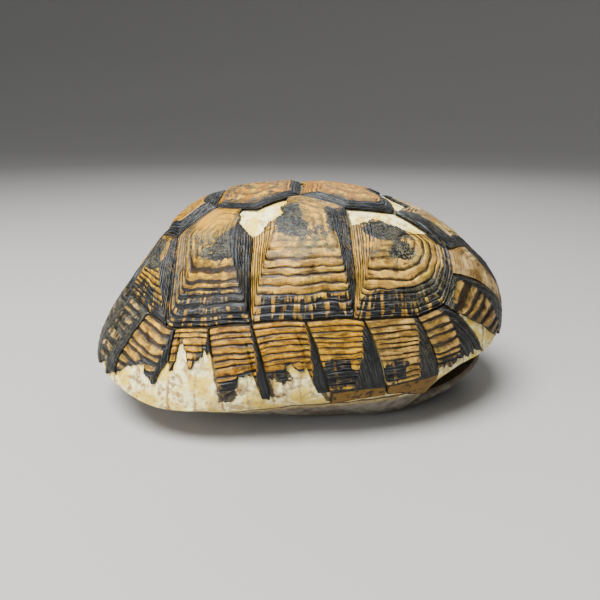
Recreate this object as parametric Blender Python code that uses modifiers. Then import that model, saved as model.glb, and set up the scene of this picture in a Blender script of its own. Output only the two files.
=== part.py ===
"""Dried shell of a domed land tortoise: one bony box and the horn scutes that lie on it.

The head end is at +X, the tail at -X and the animal's right side at -Y. The shell rests on its plastron
at Z = 0, with the origin under the middle of it. A point of the outside is named by two numbers. The
azimuth is the direction seen from above, in degrees from the head. The descent is 0 at the crest, 1 at
the rim and 2 at the edge of the plastron.
"""

import math

import bmesh
import bpy
import numpy as np

MM = 0.001

# The bone's outside. Values in brackets run from the head to the tail in equal steps of azimuth.
HALF_LENGTH = 73.6 * MM
HALF_WIDTH = 50.0 * MM
CREST_HEIGHT = 75.8 * MM
CREST_X = -4.0 * MM
REAR_WIDENING = 0.11
FRONT_SQUARENESS = 2.55
REAR_SQUARENESS = 2.4
RIM_HEIGHTS = np.array([36.0, 26.0, 21.0, 18.5, 12.3, 18.0, 16.5]) * MM
DOME_SQUARENESS = np.array([2.1, 2.4, 2.45, 2.12, 2.6])
RIM_FLARE = np.array([0.09, 0.0, 0.0, 0.15, 0.22])
FLARE_START = 0.55
BONE_THICKNESS = 3.0 * MM

# The bridges that join carapace and plastron, and the free rim's underside in front and behind.
BRIDGE_FRONT = 62.0
BRIDGE_REAR = 100.0
BRIDGE_RUNOUT = 20.0
BRIDGE_SQUARENESS = 1.27
LIP_WIDTH = 8.0 * MM
LIP_DROP = 1.2 * MM

# The plastron.
PLASTRON_HALF_LENGTH = 68.0 * MM
PLASTRON_HALF_WIDTH = 29.5 * MM
PLASTRON_FRONT_SQUARENESS = 2.9
PLASTRON_REAR_SQUARENESS = 2.3
PLASTRON_REAR_NARROWING = 0.33
FRONT_LIFT_START = 27.0 * MM
FRONT_LIFT = 13.5 * MM
REAR_LIFT_START = -40.0 * MM
REAR_LIFT = 3.0 * MM
LIFT_POWER = 1.6
ANAL_NOTCH_DEPTH = 7.0 * MM
ANAL_NOTCH_HALF_ANGLE = 11.0

# The bone mesh.
COLUMNS = 48
DOME_ROWS = (0.14, 0.28, 0.42, 0.55, 0.67, 0.78, 0.88, 0.95, 1.0)
UNDER_ROWS = (1.15, 1.5, 2.0)
PLASTRON_ROWS = (0.65, 0.3)

# The horn scutes.
LIFT_OFF_BONE = 0.45 * MM
SEAM_HALF_GAP = 0.2 * MM
EDGE_THICKNESS = 0.8 * MM
AREOLA_THICKNESS = 1.8 * MM
RIDGE_HEIGHT = 0.5 * MM
PLATE_POINTS = 18
PLATE_RINGS = (0.3, 0.45, 0.58, 0.72, 0.85, 1.0)
UNDERSIDE_RINGS = (0.7, 0.35)
UNDERSIDE_RISE = 0.5 * MM
RIM_PLATE_COLUMNS = 4
RIM_PLATE_ROWS = 4
RIM_PLATE_UNDER_ROWS = 2

# Seam corners of the right side, as (azimuth, descent).
NECK = (6, 0.72)
SHOULDER = (40, 0.57)
V1_V2 = (43.5, 0.375)
P1_P2_TOP = (63.5, 0.325)
V2_V3 = (81, 0.215)
P2_P3_TOP = (107, 0.31)
V3_V4 = (142, 0.32)
P3_P4_TOP = (146.5, 0.49)
V4_V5 = (166, 0.53)
HIP = (154, 0.735)
TAIL = (168, 0.73)
M1_M2 = (45.5, 0.656)
M2_M3 = (52, 0.748)
M3_M4 = (59.5, 0.768)
M4_M5 = (72.2, 0.757)
P1_P2_FOOT = (74.5, 0.751)
M5_M6 = (85.2, 0.747)
P2_P3_FOOT = (98.4, 0.742)
M7_M8 = (110.2, 0.74)
M8_M9 = (120.9, 0.749)
P3_P4_FOOT = (124.6, 0.748)
M9_M10 = (133.5, 0.736)
M10_M11 = (146.5, 0.733)

# Azimuths at which the seams between the marginal scutes meet the rim, nuchal first, supracaudal last.
RIM_SEAMS = (4.5, 14, 38, 54, 67, 80, 93, 105.5, 120, 140, 152, 166)
MARGINAL_TOPS = (
    (NECK, SHOULDER, M1_M2),
    (M1_M2, M2_M3),
    (M2_M3, M3_M4),
    (M3_M4, M4_M5),
    (M4_M5, P1_P2_FOOT, M5_M6),
    (M5_M6, P2_P3_FOOT),
    (P2_P3_FOOT, M7_M8),
    (M7_M8, M8_M9),
    (M8_M9, P3_P4_FOOT, M9_M10),
    (M9_M10, M10_M11),
    (M10_M11, HIP, TAIL),
)
BRIDGE_MARGINALS = (4, 5, 6, 7)
BRIDGE_HORN_END = 1.16
ARMPIT_HORN_END = 1.4
FREE_HORN_END = 1.0

# Where the horn of a right marginal has broken off: (share of its width from the front, descent) pairs
# along the edge that is left.
BROKEN_MARGINALS = {
    2: ((0, 1.0), (0.55, 1.0), (0.75, 0.91), (1, 0.82)),
    3: ((0, 0.97), (1, 0.985)),
    6: ((0, 1.0), (0.2, 1.0), (0.3, 0.9), (0.6, 0.9), (0.65, 0.94), (1, 0.94)),
    7: ((0, 1.0), (0.18, 1.0), (0.3, 0.91), (0.5, 0.91), (0.6, 0.955), (1, 0.95)),
    8: ((0, 0.83), (0.4, 0.85), (0.7, 0.82), (1, 0.8)),
    9: ((0, 0.86), (0.25, 0.93), (0.6, 0.91), (1, 0.965)),
    10: ((0, 0.965), (1, 0.975)),
}

# Outlines of the large scutes and the centres that their rings grow round. Vertebral outlines give the
# right half, from the midline at the front to the midline at the rear.
VERTEBRALS = (
    (((0, 0.715), NECK, SHOULDER, V1_V2, (10, 0.395)), (0, 0.54)),
    (((0, 0.3), V1_V2, P1_P2_TOP, V2_V3, (0, 0.045)), (0, 0.165)),
    (((0, 0.035), V2_V3, P2_P3_TOP, V3_V4, (180, 0.25)), (180, 0.115)),
    (((180, 0.26), V3_V4, P3_P4_TOP, V4_V5, (180, 0.52)), (180, 0.4)),
    (((180, 0.53), V4_V5, HIP, TAIL, (180, 0.714)), (180, 0.62)),
)
PLEURALS = (
    ((V1_V2, SHOULDER, M1_M2, M2_M3, M3_M4, M4_M5, P1_P2_FOOT, P1_P2_TOP), (57, 0.5)),
    ((P1_P2_TOP, P1_P2_FOOT, M5_M6, P2_P3_FOOT, P2_P3_TOP, V2_V3), (84, 0.42)),
    ((P2_P3_TOP, P2_P3_FOOT, M7_M8, M8_M9, P3_P4_FOOT, P3_P4_TOP, V3_V4), (122, 0.47)),
    ((P3_P4_TOP, P3_P4_FOOT, M9_M10, M10_M11, HIP, V4_V5), (147, 0.58)),
)
BROKEN_PLEURALS = {
    1: ((46.5, 0.49), SHOULDER, M1_M2, M2_M3, M3_M4, M4_M5, P1_P2_FOOT, (67.6, 0.414), (55, 0.42)),
    2: (
        *(P1_P2_TOP, P1_P2_FOOT, M5_M6, P2_P3_FOOT, (101, 0.46), (97.5, 0.42)),
        *((92, 0.35), (92, 0.29), V2_V3),
    ),
    3: (
        *((117, 0.34), (105, 0.45), P2_P3_FOOT, M7_M8, M8_M9),
        *(P3_P4_FOOT, P3_P4_TOP, V3_V4),
    ),
}

BONE_COLOUR = (0.82, 0.72, 0.5, 1)
AMBER_COLOUR = (0.52, 0.27, 0.07, 1)
DARK_COLOUR = (0.05, 0.045, 0.04, 1)


def around(azimuth, values):
    """Smooth value at an azimuth in radians, from values in equal steps from the head to the tail."""
    place = np.abs(np.arctan2(np.sin(azimuth), np.cos(azimuth))) / math.pi * (len(values) - 1)
    left = np.clip(place.astype(int), 0, len(values) - 2)
    share = place - left
    slopes = np.gradient(values)
    slopes[[0, -1]] = 0
    return (
        values[left] * (2 * share**3 - 3 * share**2 + 1)
        + slopes[left] * (share**3 - 2 * share**2 + share)
        + values[left + 1] * (3 * share**2 - 2 * share**3)
        + slopes[left + 1] * (share**3 - share**2)
    )


def squircle(angle, squareness):
    """Cosine and sine of a superellipse of unit half-axes."""
    cosine, sine = np.cos(angle), np.sin(angle)
    reach = (np.abs(cosine) ** squareness + np.abs(sine) ** squareness) ** (-1 / squareness)
    return reach * cosine, reach * sine


def smooth_step(share):
    share = np.clip(share, 0, 1)
    return share * share * (3 - 2 * share)


def dome(azimuth, descent):
    """Points of the carapace, from the crest to the rim."""
    share_front = (1 + np.cos(azimuth)) / 2
    squareness = REAR_SQUARENESS + (FRONT_SQUARENESS - REAR_SQUARENESS) * share_front
    along, across = squircle(azimuth, squareness)
    half_length = HALF_LENGTH - np.sign(along) * CREST_X
    climb, spread = squircle(descent * math.pi / 2, around(azimuth, DOME_SQUARENESS))
    flare = around(azimuth, RIM_FLARE)
    flared = smooth_step((descent - FLARE_START) / (1 - FLARE_START))
    spread = spread * (1 - flare) + flare * flared
    rim = around(azimuth, RIM_HEIGHTS)
    x = CREST_X + half_length * along * spread
    y = HALF_WIDTH * across * spread * (1 - REAR_WIDENING * x / HALF_LENGTH)
    return np.stack([x, y, rim + (CREST_HEIGHT - rim) * climb], -1)


def plastron_lift(x):
    """Height of the plastron's underside, which turns up at both ends."""
    front = (x - FRONT_LIFT_START) / (PLASTRON_HALF_LENGTH - FRONT_LIFT_START)
    rear = (REAR_LIFT_START - x) / (REAR_LIFT_START + PLASTRON_HALF_LENGTH)
    return (
        FRONT_LIFT * np.clip(front, 0, None) ** LIFT_POWER
        + REAR_LIFT * np.clip(rear, 0, None) ** LIFT_POWER
    )


def plastron(azimuth, share):
    """Points of the plastron's underside, from its middle (0) to its edge (1)."""
    share_front = (1 + np.cos(azimuth)) / 2
    more_in_front = PLASTRON_FRONT_SQUARENESS - PLASTRON_REAR_SQUARENESS
    along, across = squircle(azimuth, PLASTRON_REAR_SQUARENESS + more_in_front * share_front)
    from_tail = 180 - np.abs(np.degrees(np.arctan2(np.sin(azimuth), np.cos(azimuth))))
    notch = ANAL_NOTCH_DEPTH * np.exp(-((from_tail / ANAL_NOTCH_HALF_ANGLE) ** 2))
    x = (PLASTRON_HALF_LENGTH * along + notch) * share
    narrowing = 1 - PLASTRON_REAR_NARROWING * np.clip(-along, 0, 1)
    y = PLASTRON_HALF_WIDTH * across * narrowing * share
    return np.stack([x, y, plastron_lift(x)], -1)


def bridge_share(azimuth):
    """1 along a bridge, falling to 0 where the rim is free."""
    degrees = np.abs(np.degrees(np.arctan2(np.sin(azimuth), np.cos(azimuth))))
    outside = np.maximum(BRIDGE_FRONT - degrees, degrees - BRIDGE_REAR)
    return 1 - smooth_step(outside / BRIDGE_RUNOUT)


def underside(azimuth, share):
    """Points from the rim (0) down the bridge, or in under the free rim, to its end (1)."""
    rim = dome(azimuth, np.ones_like(azimuth))
    edge = plastron(azimuth, np.ones_like(azimuth))
    out, down = squircle(share * math.pi / 2, BRIDGE_SQUARENESS)
    down_up = np.stack([out, out, 1 - down], -1)
    bridge = edge + (rim - edge) * down_up
    inward = edge - rim
    inward[..., 2] = 0
    inward /= np.linalg.norm(inward, axis=-1, keepdims=True)
    lip = rim + inward * (LIP_WIDTH * share)[..., None]
    lip[..., 2] -= LIP_DROP * np.sin(math.pi * share)
    part = bridge_share(azimuth)[..., None]
    return bridge * part + lip * (1 - part)


def outside(azimuth, descent):
    """Points of the bone's outside. The azimuth is in radians, and a descent over 1 is below the rim."""
    azimuth, descent = np.broadcast_arrays(np.asarray(azimuth, float), np.asarray(descent, float))
    over = dome(azimuth, np.minimum(descent, 1))
    under = underside(azimuth, np.maximum(descent - 1, 0))
    return np.where((descent > 1)[..., None], under, over)


def on_chart(corner, side=-1):
    """A corner as a point of the flat chart, where the crest is the origin and the rim a unit circle."""
    azimuth, descent = math.radians(corner[0]), corner[1]
    return np.array([descent * math.cos(azimuth), side * descent * math.sin(azimuth)])


def raised(chart_points, height):
    """Points at a height over the bone, from points of the chart."""

    def at(points):
        return outside(np.arctan2(points[..., 1], points[..., 0]), np.linalg.norm(points, axis=-1))

    chart_points = np.asarray(chart_points, float)
    step = 1e-3
    along = at(chart_points + [step, 0]) - at(chart_points - [step, 0])
    across = at(chart_points + [0, step]) - at(chart_points - [0, step])
    normal = np.cross(along, across)
    normal /= np.linalg.norm(normal, axis=-1, keepdims=True)
    return at(chart_points) + normal * np.asarray(height)[..., None]


def drawn_in(outline, distance):
    """The closed chart outline with each side moved inwards by a real distance along the surface."""
    outline = np.asarray(outline, float)
    count = len(outline)
    moved = []
    step = 1e-3
    for index, point in enumerate(outline):
        before = point - outline[index - 1]
        after = outline[(index + 1) % count] - point
        surface = raised(np.array([point, point + [step, 0], point + [0, step]]), np.zeros(3))
        to_space = np.stack([surface[1] - surface[0], surface[2] - surface[0]], -1) / step
        normal = np.cross(to_space[:, 0], to_space[:, 1])
        normal /= np.linalg.norm(normal)
        sides = [np.cross(normal, to_space @ edge) for edge in (before, after)]
        sides = [side / np.linalg.norm(side) for side in sides]
        shift = distance * (sides[0] + sides[1]) / max(1 + sides[0] @ sides[1], 0.5)
        moved.append(point + np.linalg.pinv(to_space) @ shift)
    return np.array(moved)


def anticlockwise(outline):
    """The chart outline in the order that makes its face point outwards."""
    outline = np.asarray(outline, float)
    following = np.roll(outline, -1, axis=0)
    area = np.sum(outline[:, 0] * following[:, 1] - outline[:, 1] * following[:, 0])
    return outline if area > 0 else outline[::-1]


def divided(outline, count):
    """The closed outline with points added along its longest sides, up to a count. Corners stay."""
    points = [np.asarray(point) for point in outline]
    while len(points) < count:
        lengths = [np.linalg.norm(points[i] - points[i - 1]) for i in range(len(points))]
        longest = int(np.argmax(lengths))
        points.insert(longest, (points[longest] + points[longest - 1]) / 2)
    return np.array(points)


def mesh_object(name, vertices, faces, material, collection):
    """A new object whose faces all point outwards."""
    mesh = bpy.data.meshes.new(name)
    mesh.from_pydata([tuple(vertex) for vertex in vertices], [], faces)
    shape = bmesh.new()
    shape.from_mesh(mesh)
    bmesh.ops.triangulate(shape, faces=shape.faces[:])
    bmesh.ops.recalc_face_normals(shape, faces=shape.faces[:])
    shape.to_mesh(mesh)
    shape.free()
    mesh.materials.append(material)
    mesh.shade_smooth()
    mesh.set_sharp_from_angle(angle=math.radians(35))
    obj = bpy.data.objects.new(name, mesh)
    collection.objects.link(obj)
    return obj


def ring_height(share):
    """Height of a scute's upper face over the bone, at a share of the way from areola to edge."""
    thickness = AREOLA_THICKNESS + (EDGE_THICKNESS - AREOLA_THICKNESS) * share
    ridge = RIDGE_HEIGHT / 2 * math.cos(PLATE_RINGS.index(share) * math.pi) if share < 1 else 0
    return LIFT_OFF_BONE + thickness + ridge


def ring_plate(name, outline, centre, material, collection):
    """A large scute: growth rings step down from its areola to its edge, and its underside is hollow."""
    outline = divided(drawn_in(anticlockwise(outline), SEAM_HALF_GAP), PLATE_POINTS)
    count = len(outline)
    vertices = [raised(centre, LIFT_OFF_BONE + AREOLA_THICKNESS)]
    for share in PLATE_RINGS:
        vertices.extend(raised(centre + (outline - centre) * share, np.full(count, ring_height(share))))
    faces = [(0, 1 + i, 1 + (i + 1) % count) for i in range(count)]
    starts = [1 + ring * count for ring in range(len(PLATE_RINGS))]

    starts.append(len(vertices))
    vertices.extend(raised(outline, np.full(count, LIFT_OFF_BONE)))
    for share in UNDERSIDE_RINGS:
        starts.append(len(vertices))
        ring = centre + (outline - centre) * share
        vertices.extend(raised(ring, np.full(count, LIFT_OFF_BONE + UNDERSIDE_RISE)))
    under_centre = len(vertices)
    vertices.append(raised(centre, LIFT_OFF_BONE + UNDERSIDE_RISE))

    for inner, outer in zip(starts, starts[1:]):
        for i in range(count):
            j = (i + 1) % count
            faces.append((inner + i, outer + i, outer + j, inner + j))
    last = starts[-1]
    faces.extend((last + i, under_centre, last + (i + 1) % count) for i in range(count))
    return mesh_object(name, vertices, faces, material, collection)


def resampled(corners, shares):
    """Points at shares of the way along a line of chart points."""
    corners = np.asarray(corners, float)
    lengths = np.linalg.norm(np.diff(corners, axis=0), axis=1)
    marks = np.concatenate([[0], np.cumsum(lengths)]) / lengths.sum()
    return np.stack([np.interp(shares, marks, corners[:, axis]) for axis in (0, 1)], -1)


def rim_plate(name, top, rim, end, material, collection):
    """A scute of the rim, lofted from its top edge down to where its horn ends, with ridges across it.

    The top and the rim are chart points from one side of the scute to the other. The end is a list of
    (share of the width, descent) pairs.
    """
    width = np.linalg.norm(np.subtract(*raised([rim[0], rim[-1]], (0, 0))))
    inset = SEAM_HALF_GAP / width
    shares = sorted({*np.linspace(0, 1, RIM_PLATE_COLUMNS + 1), *(share for share, _ in end)})
    shares = inset + (1 - 2 * inset) * np.array(shares)
    top, rim = resampled(top, shares), resampled(rim, shares)
    rim /= np.linalg.norm(rim, axis=-1, keepdims=True)
    fall = np.linalg.norm(raised(rim, np.zeros(len(rim))) - raised(top, np.zeros(len(top))), axis=-1)
    top = top + (rim - top) * (SEAM_HALF_GAP / fall)[:, None]
    ends = np.interp(shares, *zip(*end))

    over = np.minimum(ends, 1)
    top_descent = np.linalg.norm(top, axis=-1)
    foot = top + (rim - top) * ((over - top_descent) / (1 - top_descent))[:, None]
    over_rows = np.linspace(0, 1, RIM_PLATE_ROWS + 1)
    grid = top + (foot - top) * over_rows[:, None, None]
    if ends.max() > 1:
        under_rows = np.linspace(0, 1, RIM_PLATE_UNDER_ROWS + 1)[1:]
        under = rim * (1 + (ends - 1) * under_rows[:, None])[..., None]
        grid = np.concatenate([grid, under])
    row_count, column_count = grid.shape[:2]

    ridges = RIDGE_HEIGHT / 2 * np.cos(np.arange(row_count) * math.pi)
    heights = np.repeat((LIFT_OFF_BONE + EDGE_THICKNESS + ridges)[:, None], column_count, axis=1)
    size = row_count * column_count
    vertices = [*raised(grid, heights).reshape(-1, 3)]
    vertices.extend(raised(grid, np.full(heights.shape, LIFT_OFF_BONE)).reshape(-1, 3))
    faces = []
    for row in range(row_count - 1):
        for column in range(column_count - 1):
            corner = row * column_count + column
            quad = [corner, corner + 1, corner + column_count + 1, corner + column_count]
            faces.append(quad)
            faces.append([index + size for index in reversed(quad)])
    border = [*range(column_count)]
    border += [row * column_count + column_count - 1 for row in range(1, row_count)]
    border += [size - 1 - column for column in range(1, column_count)]
    border += [row * column_count for row in range(row_count - 2, 0, -1)]
    for here, there in zip(border, border[1:] + border[:1]):
        faces.append([there, here, here + size, there + size])
    return mesh_object(name, vertices, faces, material, collection)


def bone_shell(material, collection):
    """Carapace, bridges and plastron as one bony wall, open at the head, the limbs and the tail."""
    azimuths = np.arange(COLUMNS) * 2 * math.pi / COLUMNS
    degrees = np.abs(np.degrees(np.arctan2(np.sin(azimuths), np.cos(azimuths))))
    bridged = (degrees >= BRIDGE_FRONT) & (degrees <= BRIDGE_REAR)
    vertices = [outside(0, 0)]
    for descent in DOME_ROWS + UNDER_ROWS:
        vertices.extend(outside(azimuths, descent))
    last = 1 + (len(DOME_ROWS) + len(UNDER_ROWS) - 1) * COLUMNS
    edge = len(vertices)
    vertices.extend(plastron(azimuths, np.ones(COLUMNS)))
    for share in PLASTRON_ROWS:
        vertices.extend(plastron(azimuths, np.full(COLUMNS, share)))
    middle = len(vertices)
    vertices.append(plastron(np.array(0.0), np.array(0.0)))

    faces = []
    for i in range(COLUMNS):
        j = (i + 1) % COLUMNS
        faces.append((0, 1 + i, 1 + j))
        for start in range(1, last, COLUMNS):
            faces.append((start + i, start + COLUMNS + i, start + COLUMNS + j, start + j))
        for start in range(edge, middle - COLUMNS, COLUMNS):
            faces.append((start + i, start + COLUMNS + i, start + COLUMNS + j, start + j))
        faces.append((middle - COLUMNS + i, middle, middle - COLUMNS + j))
    on_edge = {last + i: edge + i for i in range(COLUMNS) if bridged[i]}
    faces = [tuple(on_edge.get(corner, corner) for corner in face) for face in faces]

    mesh = bpy.data.meshes.new("bone_shell")
    mesh.from_pydata([tuple(vertex) for vertex in vertices], [], faces)
    shape = bmesh.new()
    shape.from_mesh(mesh)
    bmesh.ops.delete(shape, geom=[v for v in shape.verts if not v.link_faces], context="VERTS")
    bmesh.ops.recalc_face_normals(shape, faces=shape.faces[:])
    shape.to_mesh(mesh)
    shape.free()
    mesh.materials.append(material)
    mesh.shade_smooth()
    obj = bpy.data.objects.new("bone_shell", mesh)
    collection.objects.link(obj)
    wall = obj.modifiers.new("wall", "SOLIDIFY")
    wall.thickness = BONE_THICKNESS
    wall.offset = -1
    wall.use_even_offset = True
    return obj


def vertebral_scutes(material, collection):
    for number, (half, centre) in enumerate(VERTEBRALS, 1):
        right = [on_chart(corner) for corner in half]
        left = [on_chart(corner, 1) for corner in half[1:-1]]
        ring_plate(f"vertebral_{number}", right + left[::-1], on_chart(centre), material, collection)


def pleural_scutes(material, collection):
    for letter, side in (("r", -1), ("l", 1)):
        for number, (outline, centre) in enumerate(PLEURALS, 1):
            if side == -1:
                outline = BROKEN_PLEURALS.get(number, outline)
            points = [on_chart(corner, side) for corner in outline]
            ring_plate(f"pleural_{number}_{letter}", points, on_chart(centre, side), material, collection)


def marginal_scutes(material, collection):
    for letter, side in (("r", -1), ("l", 1)):
        for number, tops in enumerate(MARGINAL_TOPS, 1):
            end = BRIDGE_HORN_END if number in BRIDGE_MARGINALS else FREE_HORN_END
            end = ((0, end), (1, end))
            if number == BRIDGE_MARGINALS[0]:
                end = ((0, FREE_HORN_END), (0.25, ARMPIT_HORN_END), (0.5, BRIDGE_HORN_END), (1, BRIDGE_HORN_END))
            if side == -1:
                end = BROKEN_MARGINALS.get(number, end)
            azimuths = np.linspace(RIM_SEAMS[number - 1], RIM_SEAMS[number], RIM_PLATE_COLUMNS + 1)
            rim = [on_chart((azimuth, 1), side) for azimuth in azimuths]
            top = [on_chart(corner, side) for corner in tops]
            rim_plate(f"marginal_{number}_{letter}", top, rim, end, material, collection)


def end_scutes(material, collection):
    """The narrow nuchal over the neck and the broad supracaudal over the tail."""
    end = ((0, FREE_HORN_END), (1, FREE_HORN_END))
    for name, corner, azimuth in (("nuchal", NECK, RIM_SEAMS[0]), ("supracaudal", TAIL, RIM_SEAMS[-1])):
        top = [on_chart(corner, side) for side in (-1, 1)]
        rim = [on_chart((azimuth, 1), side) for side in (-1, 1)]
        rim_plate(name, top, rim, end, material, collection)


def principled(name, colour, roughness):
    material = bpy.data.materials.new(name)
    material.diffuse_color = colour
    material.use_nodes = True
    shader = material.node_tree.nodes["Principled BSDF"]
    shader.inputs["Base Color"].default_value = colour
    shader.inputs["Roughness"].default_value = roughness
    shader.inputs["Metallic"].default_value = 0
    return material


def main():
    for obj in list(bpy.data.objects):
        bpy.data.objects.remove(obj)
    collection = bpy.data.collections.new("turtle_shell")
    bpy.context.scene.collection.children.link(collection)
    bone_shell(principled("bone", BONE_COLOUR, 0.6), collection)
    amber = principled("amber_horn", AMBER_COLOUR, 0.4)
    vertebral_scutes(amber, collection)
    pleural_scutes(amber, collection)
    marginal_scutes(amber, collection)
    end_scutes(principled("dark_horn", DARK_COLOUR, 0.4), collection)


main()
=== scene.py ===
"""The dried shell of a domed land tortoise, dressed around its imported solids.

The head end is at +X, the animal's right side at -Y, and the shell rests on its plastron at Z = 0. A place
on the shell is an azimuth, in degrees from the head, and a descent: 0 at the crest, 1 at the rim, 2 at the
edge of the plastron. A flat chart of the shell has the crest at its origin and the rim as a unit circle.
"""

import logging
import math
from dataclasses import dataclass, field
from enum import Enum

import bpy
import numpy as np
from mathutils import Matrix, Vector, kdtree


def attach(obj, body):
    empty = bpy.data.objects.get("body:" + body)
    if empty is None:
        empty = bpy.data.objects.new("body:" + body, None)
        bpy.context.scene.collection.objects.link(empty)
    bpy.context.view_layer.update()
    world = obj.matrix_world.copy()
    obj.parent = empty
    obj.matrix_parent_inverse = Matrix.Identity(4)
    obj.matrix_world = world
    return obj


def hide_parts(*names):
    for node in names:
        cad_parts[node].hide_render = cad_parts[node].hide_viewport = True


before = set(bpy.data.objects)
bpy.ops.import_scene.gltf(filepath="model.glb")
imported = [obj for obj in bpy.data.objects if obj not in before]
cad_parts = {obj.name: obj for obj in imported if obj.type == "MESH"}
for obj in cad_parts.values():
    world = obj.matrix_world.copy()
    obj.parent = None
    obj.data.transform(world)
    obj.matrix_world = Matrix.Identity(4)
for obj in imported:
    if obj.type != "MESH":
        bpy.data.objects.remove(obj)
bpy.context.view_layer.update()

log = logging.getLogger("turtle_shell")
MM = 0.001
IMAGE_PIXELS = 600

Place = tuple[float, float]
Points = np.ndarray


class Side(Enum):
    """The animal's two sides, with the sign of Y on each."""

    RIGHT = -1
    LEFT = 1

    @property
    def letter(self) -> str:
        """The letter that ends the names of this side's scutes."""
        return "r" if self is Side.RIGHT else "l"


class Edge(Enum):
    """Which way an edge of a scute faces."""

    FRONT = "front"
    REAR = "rear"
    TOP = "top"
    FOOT = "foot"


class Tone(Enum):
    """What a marking looks like."""

    BLACK = "black"
    AMBER = "amber"
    WEATHERED = "weathered"
    REMNANT = "remnant"


# --- Small mathematics -----------------------------------------------------------------------------------


def smooth_step(share: Points) -> Points:
    """Eases a share from 0 to 1, and clips it.

    Args:
        share: The shares to ease.

    Returns:
        The eased shares.
    """
    share = np.clip(share, 0, 1)
    return share * share * (3 - 2 * share)


def squircle(angle: Points, squareness: Points | float) -> tuple[Points, Points]:
    """Cosine and sine of a superellipse of unit half-axes.

    Args:
        angle: Angles in radians.
        squareness: The superellipse's exponent, where 2 is a circle.

    Returns:
        The two coordinates at those angles.
    """
    cosine, sine = np.cos(angle), np.sin(angle)
    reach = (np.abs(cosine) ** squareness + np.abs(sine) ** squareness) ** (-1 / squareness)
    return reach * cosine, reach * sine


def around(azimuth: Points, values: Points) -> Points:
    """Smooth value at an azimuth, from values in equal steps from the head to the tail.

    Args:
        azimuth: Azimuths in radians.
        values: The values from the head to the tail.

    Returns:
        The value at each azimuth, alike on both sides.
    """
    place = np.abs(np.arctan2(np.sin(azimuth), np.cos(azimuth))) / math.pi * (len(values) - 1)
    left = np.clip(place.astype(int), 0, len(values) - 2)
    share = place - left
    slopes = np.gradient(values)
    slopes[[0, -1]] = 0
    return (
        values[left] * (2 * share**3 - 3 * share**2 + 1)
        + slopes[left] * (share**3 - 2 * share**2 + share)
        + values[left + 1] * (3 * share**2 - 2 * share**3)
        + slopes[left + 1] * (share**3 - share**2)
    )


class Grain:
    """Smooth seeded noise between -1 and 1, the same on each run."""

    LATTICE = 32

    def __init__(self, seed: int) -> None:
        """Draws the lattice.

        Args:
            seed: The seed of the random numbers.
        """
        shape = (self.LATTICE,) * 3
        self.table = np.random.default_rng(seed).uniform(-1, 1, shape)

    def at(self, size: float, x: Points, y: Points | float = 0.0, z: Points | float = 0.0) -> Points:
        """Noise at places.

        Args:
            size: How far apart the lattice's points are, in the units of the places.
            x: First coordinates.
            y: Second coordinates.
            z: Third coordinates.

        Returns:
            The noise, in the shape of the coordinates.
        """
        x, y, z = np.broadcast_arrays(np.asarray(x, float), y, z)
        place = np.stack([x, y, z], -1) / size
        corner = np.floor(place).astype(int)
        share = smooth_step(place - corner)
        total = np.zeros(place.shape[:-1])
        for step in np.ndindex(2, 2, 2):
            weight = np.prod(np.where(step, share, 1 - share), -1)
            index = (corner + step) % self.LATTICE
            total += weight * self.table[index[..., 0], index[..., 1], index[..., 2]]
        return total


GRAIN = Grain(7)


# --- The bone's form -------------------------------------------------------------------------------------


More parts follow.
